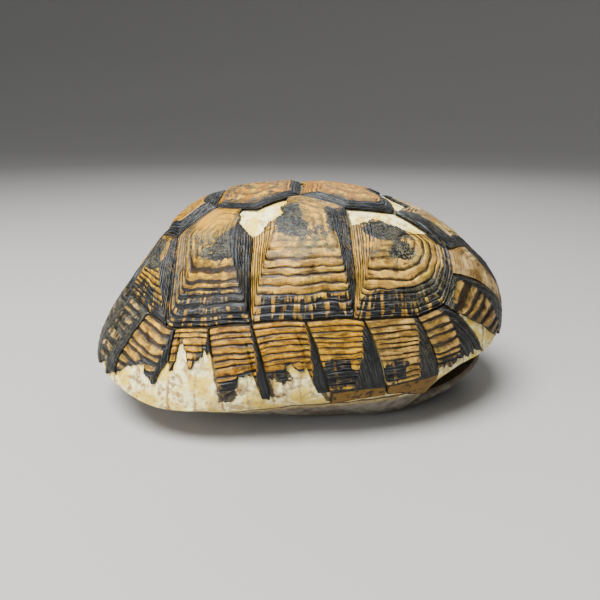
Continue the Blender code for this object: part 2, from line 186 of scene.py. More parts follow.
@dataclass(frozen=True)
class ShellForm:
    """The bone's outside as a formula, with the same sizes as the solids.

    Tuples run from the head to the tail in equal steps of azimuth.
    """

    half_length: float = 73.6 * MM
    half_width: float = 50.0 * MM
    crest_height: float = 75.8 * MM
    crest_x: float = -4.0 * MM
    rear_widening: float = 0.11
    front_squareness: float = 2.55
    rear_squareness: float = 2.4
    rim_heights_mm: tuple[float, ...] = (36.0, 26.0, 21.0, 18.5, 12.3, 18.0, 16.5)
    dome_squareness: tuple[float, ...] = (2.1, 2.4, 2.45, 2.12, 2.6)
    rim_flare: tuple[float, ...] = (0.09, 0.0, 0.0, 0.15, 0.22)
    flare_start: float = 0.55
    bridge_front: float = 62.0
    bridge_rear: float = 100.0
    bridge_runout: float = 20.0
    bridge_squareness: float = 1.27
    lip_width: float = 8.0 * MM
    lip_drop: float = 1.2 * MM
    plastron_half_length: float = 68.0 * MM
    plastron_half_width: float = 29.5 * MM
    plastron_front_squareness: float = 2.9
    plastron_rear_squareness: float = 2.3
    plastron_rear_narrowing: float = 0.33
    front_lift_start: float = 27.0 * MM
    front_lift: float = 13.5 * MM
    rear_lift_start: float = -40.0 * MM
    rear_lift: float = 3.0 * MM
    lift_power: float = 1.6
    notch_depth: float = 7.0 * MM
    notch_half_angle: float = 11.0

    def dome(self, azimuth: Points, descent: Points) -> Points:
        """Points of the carapace.

        Args:
            azimuth: Azimuths in radians.
            descent: Descents from 0 at the crest to 1 at the rim.

        Returns:
            The points, in metres.
        """
        share_front = (1 + np.cos(azimuth)) / 2
        squareness = self.rear_squareness + (self.front_squareness - self.rear_squareness) * share_front
        along, across = squircle(azimuth, squareness)
        half_length = self.half_length - np.sign(along) * self.crest_x
        climb, spread = squircle(descent * math.pi / 2, around(azimuth, np.array(self.dome_squareness)))
        flare = around(azimuth, np.array(self.rim_flare))
        flared = smooth_step((descent - self.flare_start) / (1 - self.flare_start))
        spread = spread * (1 - flare) + flare * flared
        rim = around(azimuth, np.array(self.rim_heights_mm) * MM)
        x = self.crest_x + half_length * along * spread
        y = self.half_width * across * spread * (1 - self.rear_widening * x / self.half_length)
        return np.stack([x, y, rim + (self.crest_height - rim) * climb], -1)

    def plastron_lift(self, x: Points) -> Points:
        """Height of the plastron's underside, which turns up at both ends.

        Args:
            x: Places along the shell, in metres.

        Returns:
            The heights, in metres.
        """
        front = (x - self.front_lift_start) / (self.plastron_half_length - self.front_lift_start)
        rear = (self.rear_lift_start - x) / (self.rear_lift_start + self.plastron_half_length)
        lift = self.front_lift * np.clip(front, 0, None) ** self.lift_power
        return lift + self.rear_lift * np.clip(rear, 0, None) ** self.lift_power

    def plastron(self, azimuth: Points, share: Points) -> Points:
        """Points of the plastron's underside.

        Args:
            azimuth: Azimuths in radians.
            share: Shares of the way from the plastron's middle to its edge.

        Returns:
            The points, in metres.
        """
        share_front = (1 + np.cos(azimuth)) / 2
        more_in_front = self.plastron_front_squareness - self.plastron_rear_squareness
        along, across = squircle(azimuth, self.plastron_rear_squareness + more_in_front * share_front)
        from_tail = 180 - np.abs(np.degrees(np.arctan2(np.sin(azimuth), np.cos(azimuth))))
        notch = self.notch_depth * np.exp(-((from_tail / self.notch_half_angle) ** 2))
        x = (self.plastron_half_length * along + notch) * share
        narrowing = 1 - self.plastron_rear_narrowing * np.clip(-along, 0, 1)
        y = self.plastron_half_width * across * narrowing * share
        return np.stack([x, y, self.plastron_lift(x)], -1)

    def bridge_share(self, azimuth: Points) -> Points:
        """1 along a bridge, falling to 0 where the rim is free.

        Args:
            azimuth: Azimuths in radians.

        Returns:
            The shares.
        """
        degrees = np.abs(np.degrees(np.arctan2(np.sin(azimuth), np.cos(azimuth))))
        beyond = np.maximum(self.bridge_front - degrees, degrees - self.bridge_rear)
        return 1 - smooth_step(beyond / self.bridge_runout)

    def underside(self, azimuth: Points, share: Points) -> Points:
        """Points from the rim down the bridge, or in under the free rim.

        Args:
            azimuth: Azimuths in radians.
            share: Shares of the way from the rim to the end.

        Returns:
            The points, in metres.
        """
        rim = self.dome(azimuth, np.ones_like(azimuth))
        edge = self.plastron(azimuth, np.ones_like(azimuth))
        out, down = squircle(share * math.pi / 2, self.bridge_squareness)
        bridge = edge + (rim - edge) * np.stack([out, out, 1 - down], -1)
        inward = edge - rim
        inward[..., 2] = 0
        inward /= np.linalg.norm(inward, axis=-1, keepdims=True)
        lip = rim + inward * (self.lip_width * share)[..., None]
        lip[..., 2] -= self.lip_drop * np.sin(math.pi * share)
        part = self.bridge_share(azimuth)[..., None]
        return bridge * part + lip * (1 - part)

    def outside(self, azimuth: Points, descent: Points) -> Points:
        """Points of the bone's outside.

        Args:
            azimuth: Azimuths in radians.
            descent: Descents, where more than 1 is below the rim.

        Returns:
            The points, in metres.
        """
        azimuth, descent = np.broadcast_arrays(np.asarray(azimuth, float), np.asarray(descent, float))
        over = self.dome(azimuth, np.minimum(descent, 1))
        under = self.underside(azimuth, np.maximum(descent - 1, 0))
        return np.where((descent > 1)[..., None], under, over)

    def on_bone(self, chart: Points) -> Points:
        """Points of the bone's outside, from points of the chart.

        Args:
            chart: Points of the chart.

        Returns:
            The points, in metres.
        """
        return self.outside(np.arctan2(chart[..., 1], chart[..., 0]), np.linalg.norm(chart, axis=-1))

    def raised(self, chart: Points, height: Points | float) -> Points:
        """Points at a height over the bone.

        Args:
            chart: Points of the chart.
            height: Their heights along the bone's normal, in metres.

        Returns:
            The points, in metres.
        """
        chart = np.asarray(chart, float)
        step = 1e-3
        along = self.on_bone(chart + [step, 0]) - self.on_bone(chart - [step, 0])
        across = self.on_bone(chart + [0, step]) - self.on_bone(chart - [0, step])
        normal = np.cross(along, across)
        normal /= np.linalg.norm(normal, axis=-1, keepdims=True)
        return self.on_bone(chart) + normal * np.asarray(height)[..., None]

    def scale_at(self, chart: Points) -> tuple[float, float]:
        """How long the chart's unit is on the bone, away from the crest and around it.

        Args:
            chart: One point of the chart.

        Returns:
            Metres for each unit of descent, and metres for each unit across it.
        """
        radial = chart / np.linalg.norm(chart)
        across = np.array([-radial[1], radial[0]])
        step = 1e-3
        spans = [
            self.on_bone(chart + way * step) - self.on_bone(chart - way * step) for way in (radial, across)
        ]
        return tuple(float(np.linalg.norm(span)) / (2 * step) for span in spans)


FORM = ShellForm()


def on_chart(place: Place, side: Side) -> Points:
    """A place as a point of the chart.

    Args:
        place: Azimuth in degrees and descent.
        side: The side that it is on.

    Returns:
        The point of the chart.
    """
    azimuth = math.radians(place[0])
    return np.array([place[1] * math.cos(azimuth), side.value * place[1] * math.sin(azimuth)])


def wandering(chart: Points) -> Points:
    """Moves points of the chart a little, so that seams wander as grown ones do.

    Args:
        chart: Points of the chart, on either side.

    Returns:
        The moved points. Points that coincide stay together.
    """
    x, y = chart[..., 0], chart[..., 1]
    moved = np.zeros_like(chart)
    for size, amount in ((0.11, 0.0045), (0.035, 0.0016)):
        moved[..., 0] += amount * GRAIN.at(size, x + 3, y + 5, 0.3)
        moved[..., 1] += amount * GRAIN.at(size, x + 3, y + 5, 9.4)
    return chart + moved


# --- Where the seams run ---------------------------------------------------------------------------------

NECK = (6, 0.72)
SHOULDER = (40, 0.57)
V1_V2 = (43.5, 0.375)
P1_P2_TOP = (63.5, 0.325)
V2_V3 = (81, 0.215)
P2_P3_TOP = (107, 0.31)
V3_V4 = (142, 0.32)
P3_P4_TOP = (146.5, 0.49)
V4_V5 = (166, 0.53)
HIP = (154, 0.735)
TAIL = (168, 0.73)
M1_M2 = (45.5, 0.656)
M2_M3 = (52, 0.748)
M3_M4 = (59.5, 0.768)
M4_M5 = (72.2, 0.757)
P1_P2_FOOT = (74.5, 0.751)
M5_M6 = (85.2, 0.747)
P2_P3_FOOT = (98.4, 0.742)
M7_M8 = (110.2, 0.74)
M8_M9 = (120.9, 0.749)
P3_P4_FOOT = (124.6, 0.748)
M9_M10 = (133.5, 0.736)
M10_M11 = (146.5, 0.733)

RIM_SEAMS = (4.5, 14, 38, 54, 67, 80, 93, 105.5, 120, 140, 152, 166)


@dataclass(frozen=True)
class Areola:
    """The oldest part of a scute, which its growth rings run round. Sizes are half-sizes in millimetres."""

    centre: Place
    width: float
    rise: float
    drop: float


@dataclass(frozen=True)
class Banding:
    """How far across the ring zone the amber reaches towards each edge before the horn turns black."""

    front: float = 0.08
    foot: float = 0.62
    rear: float = 1.3
    top: float = 0.3
    areola_dark: float = 0.5
    tan: float = 0.0
    thick_grooves: float = 0.2
    weathered: float = 0.0


@dataclass(frozen=True)
class RimLook:
    """How dark, tan, deep-grooved and weathered a rim scute is, and how many rings it has."""

    areola_dark: float = 0.42
    tan: float = 0.0
    thick_grooves: float = 0.2
    weathered: float = 0.0
    rings: int = 11


# --- Mesh building ---------------------------------------------------------------------------------------


class Skin:
    """A closed mesh in the making, with a value of each mark at each point."""

    MARKS = (
        "black", "areola", "dashes", "tan", "weathered", "ventral", "rim_place", "rim_band", "remnant",
        "thick", "plate_seam",
    )

    def __init__(self) -> None:
        """Starts with nothing."""
        self.points: list[Points] = []
        self.marks: dict[str, list[Points]] = {mark: [] for mark in self.MARKS}
        self.growth: list[Points] = []
        self.quads: list[Points] = []
        self.triangles: list[Points] = []
        self.count = 0

    def add(self, points: Points, growth: Points | None = None, **marks: Points | float) -> Points:
        """Adds points.

        Args:
            points: Their places, of any shape by 3.
            growth: Millimetres along the rings, and rings from the areola, of the same shape by 2.
            **marks: The value of each mark there.

        Returns:
            The points' indices, in the shape of the places.
        """
        points = np.asarray(points, float)
        shape = points.shape[:-1]
        size = int(np.prod(shape))
        index = np.arange(self.count, self.count + size).reshape(shape)
        self.points.append(points.reshape(-1, 3))
        growth = np.zeros((*shape, 2)) if growth is None else np.broadcast_to(growth, (*shape, 2))
        self.growth.append(growth.reshape(-1, 2))
        for mark in self.MARKS:
            value = np.broadcast_to(np.asarray(marks.get(mark, 0.0), float), shape)
            self.marks[mark].append(value.reshape(-1))
        self.count += size
        return index

    def join_rows(self, rows: Points, closed: bool) -> None:
        """Joins neighbouring rows of points with four-sided faces.

        Args:
            rows: Indices, one row of them for each row of points.
            closed: Whether each row is a ring.
        """
        here, there = rows[:-1], rows[1:]
        if closed:
            right = [np.roll(block, -1, axis=1) for block in (here, there)]
            quads = np.stack([here, right[0], right[1], there], -1)
        else:
            quads = np.stack([here[:, :-1], here[:, 1:], there[:, 1:], there[:, :-1]], -1)
        self.quads.append(quads.reshape(-1, 4))

    def close_fan(self, ring: Points, centre: int) -> None:
        """Fills a ring of points with triangles round a centre.

        Args:
            ring: The ring's indices.
            centre: The centre's index.
        """
        self.triangles.append(np.stack([ring, np.roll(ring, -1), np.full(len(ring), centre)], -1))

    def build(self, name: str, sharp_degrees: float) -> bpy.types.Object:
        """Makes the object, with every face pointing outwards.

        Args:
            name: The object's name.
            sharp_degrees: The angle beyond which an edge is drawn sharp.

        Returns:
            The object, linked to the scene.
        """
        points = np.concatenate(self.points)
        quads, triangles = np.concatenate(self.quads), np.concatenate(self.triangles)
        mesh = bpy.data.meshes.new(name)
        mesh.from_pydata(points, [], [*quads.tolist(), *triangles.tolist()])
        corners = [points[quads[:, i]] for i in range(4)]
        volume = sum(np.einsum("ij,ij->", corners[0], np.cross(corners[i], corners[i + 1])) for i in (1, 2))
        tips = [points[triangles[:, i]] for i in range(3)]
        volume += np.einsum("ij,ij->", tips[0], np.cross(tips[1], tips[2]))
        if volume < 0:
            mesh.flip_normals()
        for mark in self.MARKS:
            layer = mesh.attributes.new(mark, "FLOAT", "POINT")
            layer.data.foreach_set("value", np.concatenate(self.marks[mark]).astype(np.float32))
        self._map_growth(mesh)
        mesh.shade_smooth()
        mesh.set_sharp_from_angle(angle=math.radians(sharp_degrees))
        obj = bpy.data.objects.new(name, mesh)
        bpy.context.scene.collection.objects.link(obj)
        return obj

    def _map_growth(self, mesh: bpy.types.Mesh) -> None:
        """Lays the growth coordinates on the faces' corners, without a smear where a ring closes.

        Args:
            mesh: The mesh to map.
        """
        growth = np.concatenate(self.growth)
        corner_points = np.empty(len(mesh.loops), np.int32)
        mesh.loops.foreach_get("vertex_index", corner_points)
        starts = np.empty(len(mesh.polygons), np.int32)
        mesh.polygons.foreach_get("loop_start", starts)
        sizes = np.diff(np.append(starts, len(corner_points)))
        values = growth[corner_points]
        along = values[:, 0]
        highest = np.repeat(np.maximum.reduceat(along, starts), sizes)
        round_once = along.max()
        wraps = highest - along > round_once / 2
        values[:, 0] = np.where(wraps, along + round_once, along)
        layer = mesh.uv_layers.new(name="growth")
        layer.uv.foreach_set("vector", values.astype(np.float32).ravel())


def resampled(line: Points, shares: Points) -> Points:
    """Points at shares of the way along a line.

    Args:
        line: The line's points.
        shares: Shares of its length.

    Returns:
        The points there.
    """
    line = np.asarray(line, float)
    lengths = np.linalg.norm(np.diff(line, axis=0), axis=1)
    marks = np.concatenate([[0], np.cumsum(lengths)]) / lengths.sum()
    return np.stack([np.interp(shares, marks, line[:, axis]) for axis in range(line.shape[1])], -1)


def dress(obj: bpy.types.Object, material: bpy.types.Material, node: str) -> None:
    """Gives a piece its material and its place in the frame, and reports it.

    Args:
        obj: The piece.
        material: Its material.
        node: The CAD node that it stands for.
    """
    obj.data.materials.append(material)
    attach(obj, "root")
    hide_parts(node)
    log.info("%s: %d faces", obj.name, len(obj.data.polygons))


# --- Growth rings ----------------------------------------------------------------------------------------


@dataclass(frozen=True)
class RingGrowth:
    """Yearly growth rings, which get narrower towards the scute's edge and fainter inside the areola."""

    count: int = 8
    narrowing: float = 0.9
    seed: int = 1
    groove_depth: float = 0.4 * MM
    groove_share: float = 0.15
    fine_depth: float = 0.04 * MM
    fine_per_ring: int = 4
    full_width: float = 2.4 * MM
    faint: float = 3.6
    wander_sizes: tuple[tuple[float, float], ...] = ((9.0 * MM, 0.24), (2.6 * MM, 0.16))
    step_height: float = 0.16 * MM
    vigour_size: float = 4.5 * MM
    areola_vigour: float = 0.22

    def bounds(self) -> Points:
        """Where each ring ends.

        Returns:
            Shares of the ring zone, from 0 to 1.
        """
        draw = np.random.default_rng(self.seed)
        widths = self.narrowing ** np.arange(self.count) * draw.uniform(0.6, 1.4, self.count)
        return np.concatenate([[0], np.cumsum(widths)]) / widths.sum()

    def number(self, share: Points, place: Points, within: Points | float = 0.0) -> Points:
        """Rings from the areola, with fractions, wandering as grown ones do.

        Args:
            share: Shares of the ring zone, 0 at the areola's edge and 1 at the scute's.
            place: The points, in metres.
            within: -1 at the middle of the areola, rising to 0 at its edge.

        Returns:
            The number of rings, below 0 inside the areola.
        """
        share = np.clip(share, 0, 1)
        number = np.interp(share, self.bounds(), np.arange(self.count + 1))
        free = np.clip(4 * share * (1 - share), 0, 1) + 1.6 * np.abs(within)
        for size, amount in self.wander_sizes:
            shift = self.seed * 0.37 * size
            noise = GRAIN.at(size, place[..., 0] + shift, place[..., 1], place[..., 2])
            number = number + amount * free * noise
        return number + self.faint * within

    def relief(self, number: Points, ring_width: Points, place: Points) -> Points:
        """Height of the rings' bars and grooves.

        Args:
            number: Rings from the areola.
            ring_width: How wide a ring is there, in metres.
            place: The points, in metres.

        Returns:
            Heights around 0, in metres.
        """
        part = number - np.floor(number)
        near = np.minimum(part, 1 - part)
        noise = GRAIN.at(self.vigour_size, place[..., 1], place[..., 2], place[..., 0])
        vigour = np.clip(0.75 + 0.9 * noise, 0.12, 1.35)
        vigour = vigour * np.where(number < 0, self.areola_vigour, 1)
        groove = np.exp(-((near / self.groove_share) ** 2)) * vigour
        step = self.step_height * (0.5 - part) * vigour
        fine = self.fine_depth * np.cos(2 * math.pi * self.fine_per_ring * number)
        scale = np.clip(ring_width / self.full_width, 0.18, 1)
        return scale * (step - self.groove_depth * groove) + fine * np.clip(scale * 1.6, 0, 1)


# --- The horn scutes -------------------------------------------------------------------------------------


@dataclass(frozen=True)
class Marking:
    """A patch of another colour, with half-sizes in millimetres."""

    place: Place
    width: float
    height: float
    strength: float


# Both sides wear the same markings. Their places are those of the side that the photograph shows.
MARKINGS = {
    Tone.BLACK: (
        Marking((87.5, 0.385), 4.2, 6.5, 1.6),
        Marking((72.0, 0.38), 3.4, 6.5, 1.5),
        Marking((60.0, 0.455), 6.2, 4.0, 1.6),
        Marking((58.2, 0.541), 3.4, 3.0, 1.2),
        Marking((51.5, 0.7), 6.5, 6.5, 1.3),
        Marking((112.5, 0.48), 3.6, 6.5, 1.2),
        Marking((152.0, 0.6), 6.0, 6.5, 1.2),
        Marking((78.3, 0.935), 4.8, 5.6, 1.9),
        Marking((65.0, 0.95), 6.0, 4.2, 1.6),
        Marking((52.5, 0.965), 4.0, 3.6, 1.3),
        Marking((134.0, 0.93), 4.0, 2.6, 1.2),
        Marking((126.5, 0.863), 2.6, 1.0, 1.8),
        Marking((128.5, 0.9), 2.4, 0.9, 1.8),
        Marking((111.5, 0.83), 2.6, 1.6, 1.5),
        Marking((127.0, 0.62), 8.0, 5.0, 0.6),
        Marking((60.0, 0.7), 12.0, 3.6, 0.8),
        Marking((103.3, 0.935), 4.4, 2.8, 2.0),
        Marking((90.5, 0.925), 4.0, 2.6, 1.9),
    ),
    Tone.AMBER: (
        Marking((79.0, 0.36), 4.0, 4.6, 1.6),
        Marking((91.2, 0.49), 3.4, 2.6, 1.4),
        Marking((63.0, 0.511), 5.0, 1.3, 1.4),
        Marking((125.7, 0.379), 8.0, 6.0, 2.0),
        Marking((145.0, 0.546), 2.2, 4.4, 1.4),
        Marking((61.5, 0.955), 1.6, 2.0, 1.2),
        Marking((43.5, 0.15), 13.0, 10.0, 0.3),
        Marking((119.0, 0.15), 14.0, 7.0, 0.2),
    ),
    Tone.WEATHERED: (
        Marking((83.2, 0.5), 7.0, 3.4, 1.2),
        Marking((56.0, 0.57), 6.0, 3.0, 1.0),
        Marking((128.0, 0.474), 4.5, 4.2, 1.3),
        Marking((54.0, 0.68), 9.0, 5.0, 0.5),
        Marking((56.5, 0.87), 5.0, 7.0, 0.3),
    ),
    Tone.REMNANT: (
        Marking((104.3, 0.955), 2.8, 2.6, 1.3),
        Marking((90.5, 0.93), 3.4, 2.0, 1.0),
        # A wide, weak patch that darkens the bare bone along the rim in patches.
        Marking((97.0, 0.985), 14.0, 4.0, 0.22),
        Marking((119.5, 0.865), 0.9, 3.0, 0.9),
    ),
}


def marked(chart: Points, tone: Tone) -> Points:
    """How strongly the markings of one tone show.

    Args:
        chart: Points of the chart.
        tone: The tone.

    Returns:
        0 away from the markings, and more inside them.
    """
    azimuth = np.abs(np.arctan2(chart[..., 1], chart[..., 0]))
    descent = np.linalg.norm(chart, axis=-1)
    total = np.zeros(descent.shape)
    for marking in MARKINGS[tone]:
        middle = on_chart(marking.place, Side.LEFT)
        down, across = FORM.scale_at(middle)
        offset_across = (azimuth - math.radians(marking.place[0])) * marking.place[1] * across
        offset_down = (descent - marking.place[1]) * down
        reach = np.hypot(offset_across / (marking.width * MM), offset_down / (marking.height * MM))
        total += marking.strength * np.exp(-((reach / 1.1) ** 4))
    return total


@dataclass(frozen=True)
class HornWear:
    """What all scutes share: their seams' gap, the share of their height at an edge, lumps and pits."""

    seam_gap: float = 0.16 * MM
    sunk: float = 0.15 * MM
    thinnest: float = 0.25 * MM
    seam_share: float = 0.45
    break_share: float = 0.62
    break_bevel: float = 1.6 * MM
    lump_height: float = 0.12 * MM
    pit_height: float = 0.03 * MM
    crease_degrees: float = 42

    def worn(self, height: Points, from_seam: Points, to_break: Points) -> Points:
        """Heights that fall towards the seams and the broken edges.

        Args:
            height: The heights, in metres.
            from_seam: 0 at a seam, rising to 1 where its bevel ends.
            to_break: How far each point is from a broken edge, in metres.

        Returns:
            The worn heights.
        """
        from_break = smooth_step(to_break / self.break_bevel)
        height = height * (self.seam_share + (1 - self.seam_share) * from_seam)
        height = height * (self.break_share + (1 - self.break_share) * from_break)
        return np.maximum(height, self.thinnest)


WEAR = HornWear()


@dataclass
class LargeScute:
    """A vertebral or pleural scute: a horn plate with closed growth rings round its areola."""

    TURN_STEPS = 1440
    PATH_STEPS = 240

    name: str
    side: Side
    corners: tuple[Place, ...]
    edges: tuple[Edge, ...]
    areola: Areola
    banding: Banding
    rings: RingGrowth
    broken: tuple[Place, ...] = ()
    mirrored: bool = False
    columns: int = 272
    ring_rows: int = 76
    areola_rows: int = 9
    edge_height: float = 0.95 * MM
    areola_height: float = 1.55 * MM
    areola_pit_height: float = 0.06 * MM
    bevel: float = 0.6 * MM
    lump_size: float = 3.2 * MM
    pit_size: float = 0.9 * MM
    corner_rounding: float = 0.5 * MM
    splinters: float = 0.8 * MM
    black_turn: float = 0.2
    jags: tuple[tuple[float, float], ...] = ((9.0, 0.0045), (2.6, 0.006), (0.9, 0.004))

    def outline(self) -> tuple[Points, list[Edge]]:
        """The seam round the scute.

        Returns:
            Its points of the chart, and the edge that each belongs to.
        """
        corners = [on_chart(place, self.side) for place in self.corners]
        edges = list(self.edges)
        if self.mirrored:
            corners += [point * [1, -1] for point in corners[-2:0:-1]]
            edges += edges[::-1]
        closed = np.array([*corners, corners[0]])
        surface = FORM.on_bone(resampled_corners(closed))
        lengths = np.linalg.norm(np.diff(surface, axis=0), axis=1)
        lengths = lengths.reshape(len(corners), -1).sum(1)
        marks = np.concatenate([[0], np.cumsum(lengths)]) / lengths.sum()
        shares = np.arange(self.columns) / self.columns
        points = np.stack([np.interp(shares, marks, closed[:, axis]) for axis in (0, 1)], -1)
        points = self._rounded(points, lengths.sum())
        which = np.clip(np.searchsorted(marks, shares, side="right") - 1, 0, len(edges) - 1)
        return wandering(points), [edges[index] for index in which]

    def _rounded(self, points: Points, length: float) -> Points:
        """The outline with its corners eased a little.

        Args:
            points: The outline.
            length: Its length on the bone, in metres.

        Returns:
            The eased outline.
        """
        reach = max(1, round(self.corner_rounding / (length / self.columns)))
        for _ in range(2):
            points = sum(np.roll(points, step, axis=0) for step in range(-reach, reach + 1))
            points = points / (2 * reach + 1)
        return points

    def areola_edge(self, outline: Points, centre: Points) -> Points:
        """The areola's edge: a squeezed copy of the outline, so its corners face the scute's.

        Args:
            outline: The outline, as points of the chart.
            centre: The areola's centre.

        Returns:
            A point of the chart for each point of the outline.
        """
        radial = centre / np.linalg.norm(centre)
        across = np.array([-radial[1], radial[0]])
        down_scale, across_scale = FORM.scale_at(centre)
        down = (outline - centre) @ radial
        sideways = (outline - centre) @ across
        halves = (self.areola.rise, self.areola.drop, self.areola.width, self.areola.width)
        scales = (down_scale, down_scale, across_scale, across_scale)
        reaches = (-down.min(), down.max(), -sideways.min(), sideways.max())
        up, drop, one, other = [
            min(half * MM / scale / reach, 0.9) for half, scale, reach in zip(halves, scales, reaches)
        ]
        down = down * np.where(down > 0, drop, up)
        sideways = sideways * np.where(sideways > 0, other, one)
        edge = centre + down[:, None] * radial + sideways[:, None] * across
        reach = max(1, len(edge) // 60)
        return sum(np.roll(edge, step, axis=0) for step in range(-reach, reach + 1)) / (2 * reach + 1)

    @staticmethod
    def on_paths(reach: Points, centre: Points, edge: Points, outline: Points, starts: Points) -> Points:
        """Points on the way out from the centre, through the areola's edge, to the outline.

        Args:
            reach: Shares of the way.
            centre: The areola's centre.
            edge: The areola's edge.
            outline: The outline.
            starts: The share of the way at which the areola ends.

        Returns:
            The points of the chart.
        """
        inside = centre + (edge - centre) * (reach / starts)[..., None]
        beyond = edge + (outline - edge) * ((reach - starts) / (1 - starts))[..., None]
        return np.where((reach < starts)[..., None], inside, beyond)

    def unbroken(self, centre: Points, edge: Points, outline: Points, starts: Points) -> Points:
        """How far along each way out the horn is left, up to the line that it has broken at.

        Args:
            centre: The areola's centre.
            edge: The areola's edge.
            outline: The outline.
            starts: The share of the way at which the areola ends.

        Returns:
            A share for each point of the outline, 1 where the horn reaches its seam.
        """
        left = np.ones(len(outline))
        if not self.broken:
            return left
        line = np.array([on_chart(place, self.side) for place in self.broken])
        steps = np.linspace(0, len(line) - 1, (len(line) - 1) * 14 + 1)
        line = np.stack([np.interp(steps, np.arange(len(line)), line[:, axis]) for axis in (0, 1)], -1)
        jagged = np.zeros(len(line))
        for size, amount in self.jags:
            jagged += amount * GRAIN.at(size, np.arange(len(line)) + 11.0, 4.5)
        away = line - centre
        line = line + away / np.linalg.norm(away, axis=1, keepdims=True) * jagged[:, None]
        turns = np.linspace(-math.pi, math.pi, self.TURN_STEPS + 1)
        ray = np.stack([np.cos(turns), np.sin(turns)], -1)
        limit = np.full(len(turns), 9.0)
        for start, end in zip(line, line[1:]):
            side = end - start
            cross = ray[:, 0] * side[1] - ray[:, 1] * side[0]
            cross = np.where(np.abs(cross) < 1e-12, 1e-12, cross)
            gap = start - centre
            along_ray = (gap[0] * side[1] - gap[1] * side[0]) / cross
            along_side = (gap[0] * ray[:, 1] - gap[1] * ray[:, 0]) / cross
            hits = (along_side >= 0) & (along_side <= 1) & (along_ray > 0)
            limit = np.where(hits & (along_ray < limit), along_ray, limit)
        samples = np.linspace(0, 1, self.PATH_STEPS + 1)[:, None] * np.ones(len(outline))
        offset = self.on_paths(samples, centre, edge, outline, starts) - centre
        turn = np.arctan2(offset[..., 1], offset[..., 0])
        allowed = limit[np.round((turn + math.pi) / (2 * math.pi) * self.TURN_STEPS).astype(int)]
        beyond = np.linalg.norm(offset, axis=-1) > allowed
        first = samples[np.argmax(beyond, axis=0), 0]
        return np.where(beyond.any(axis=0), first, left)

    def kept(self, outline: Points) -> Points:
        """Where the horn reaches its seam.

        Args:
            outline: The seam round the scute, as points of the chart.

        Returns:
            Whether it does at each point.
        """
        centre = on_chart(self.areola.centre, self.side)
        edge = self.areola_edge(outline, centre)
        return self.unbroken(centre, edge, outline, np.full(len(outline), 0.4)) >= 1

    def build(self) -> bpy.types.Object:
        """Makes the scute.

        Returns:
            The object.
        """
        outline, edges = self.outline()
        centre = on_chart(self.areola.centre, self.side)
        edge = self.areola_edge(outline, centre)
        first_part, second_part = [
            np.linalg.norm(FORM.on_bone(end) - FORM.on_bone(start), axis=-1)
            for start, end in ((centre, edge), (edge, outline))
        ]
        ray_lengths = first_part + second_part
        starts = first_part / ray_lengths
        left = self.unbroken(centre, edge, outline, starts)
        inset = 1 - WEAR.seam_gap / ray_lengths

        inner = np.linspace(0, 1, self.areola_rows + 1)[1:, None] * starts
        zone = np.linspace(0, 1, self.ring_rows + 1)[1:, None]
        bounds = self.rings.bounds()
        zone = np.interp(zone, np.linspace(0, 1, len(bounds)), bounds)
        outer = starts + (1 - starts) * zone
        reach = np.concatenate([inner, outer]) * np.minimum(left, inset)
        chart = self.on_paths(reach, centre, edge, outline, starts)

        share = (reach - starts) / (1 - starts)
        within = np.minimum(reach / starts, 1) - 1
        place = FORM.on_bone(chart)
        number = self.rings.number(share, place, within)
        ring_width = ray_lengths * (1 - starts) / self.rings.count
        lumps = GRAIN.at(self.lump_size, place[..., 0], place[..., 1], place[..., 2])
        pits = GRAIN.at(self.pit_size, place[..., 0], place[..., 1], place[..., 2])
        in_areola = 1 - smooth_step((share + 0.1 + 0.16 * lumps + 0.08 * pits) / 0.24)
        height = self.areola_height + (self.edge_height - self.areola_height) * smooth_step(share)
        height = height + self.rings.relief(number, ring_width, place)
        height = height + WEAR.lump_height * lumps
        height = height + (WEAR.pit_height + self.areola_pit_height * in_areola) * pits
        to_seam = (1 - reach) * ray_lengths - WEAR.seam_gap
        to_break = np.where(left < inset, (left - reach) * ray_lengths, 1.0)
        height = WEAR.worn(height, smooth_step(to_seam / self.bevel) ** 0.7, to_break)

        border = FORM.on_bone(outline)
        spacing = np.linalg.norm(np.roll(border, -1, axis=0) - border, axis=-1)
        along = np.concatenate([[0], np.cumsum(spacing)[:-1]]) / MM
        growth = np.stack([np.broadcast_to(along, number.shape), number], -1)
        marks = self.marks(chart, share, edges, in_areola)
        marks["black"] = marks["black"] + 1.5 * np.exp(-((to_break / self.splinters) ** 2))

        skin = Skin()
        top = skin.add(FORM.raised(chart, height), growth, **marks)
        peak = skin.add(
            FORM.raised(centre[None], np.array([self.areola_height])),
            np.array([[0.0, 0.0]]),
            **{mark: value[0].mean() for mark, value in marks.items()},
        )
        under = centre + (chart[-1] - centre) * np.array([1, 0.6, 0.22])[:, None, None]
        edge_marks = {mark: value[-1] for mark, value in marks.items()}
        # Painted shade: the wall under the horn's edge and its hidden base are black, partly the horn's own
        # dark edge.
        edge_marks["black"] = 1.0
        below = skin.add(FORM.raised(under, -WEAR.sunk), growth[-1], **edge_marks)
        root = skin.add(FORM.raised(centre[None], np.array([-WEAR.sunk])), None, black=1.0)
        skin.join_rows(np.concatenate([top, below]), closed=True)
        skin.close_fan(top[0][::-1], int(peak[0]))
        skin.close_fan(below[-1], int(root[0]))
        return skin.build(f"{self.name}_horn", WEAR.crease_degrees)

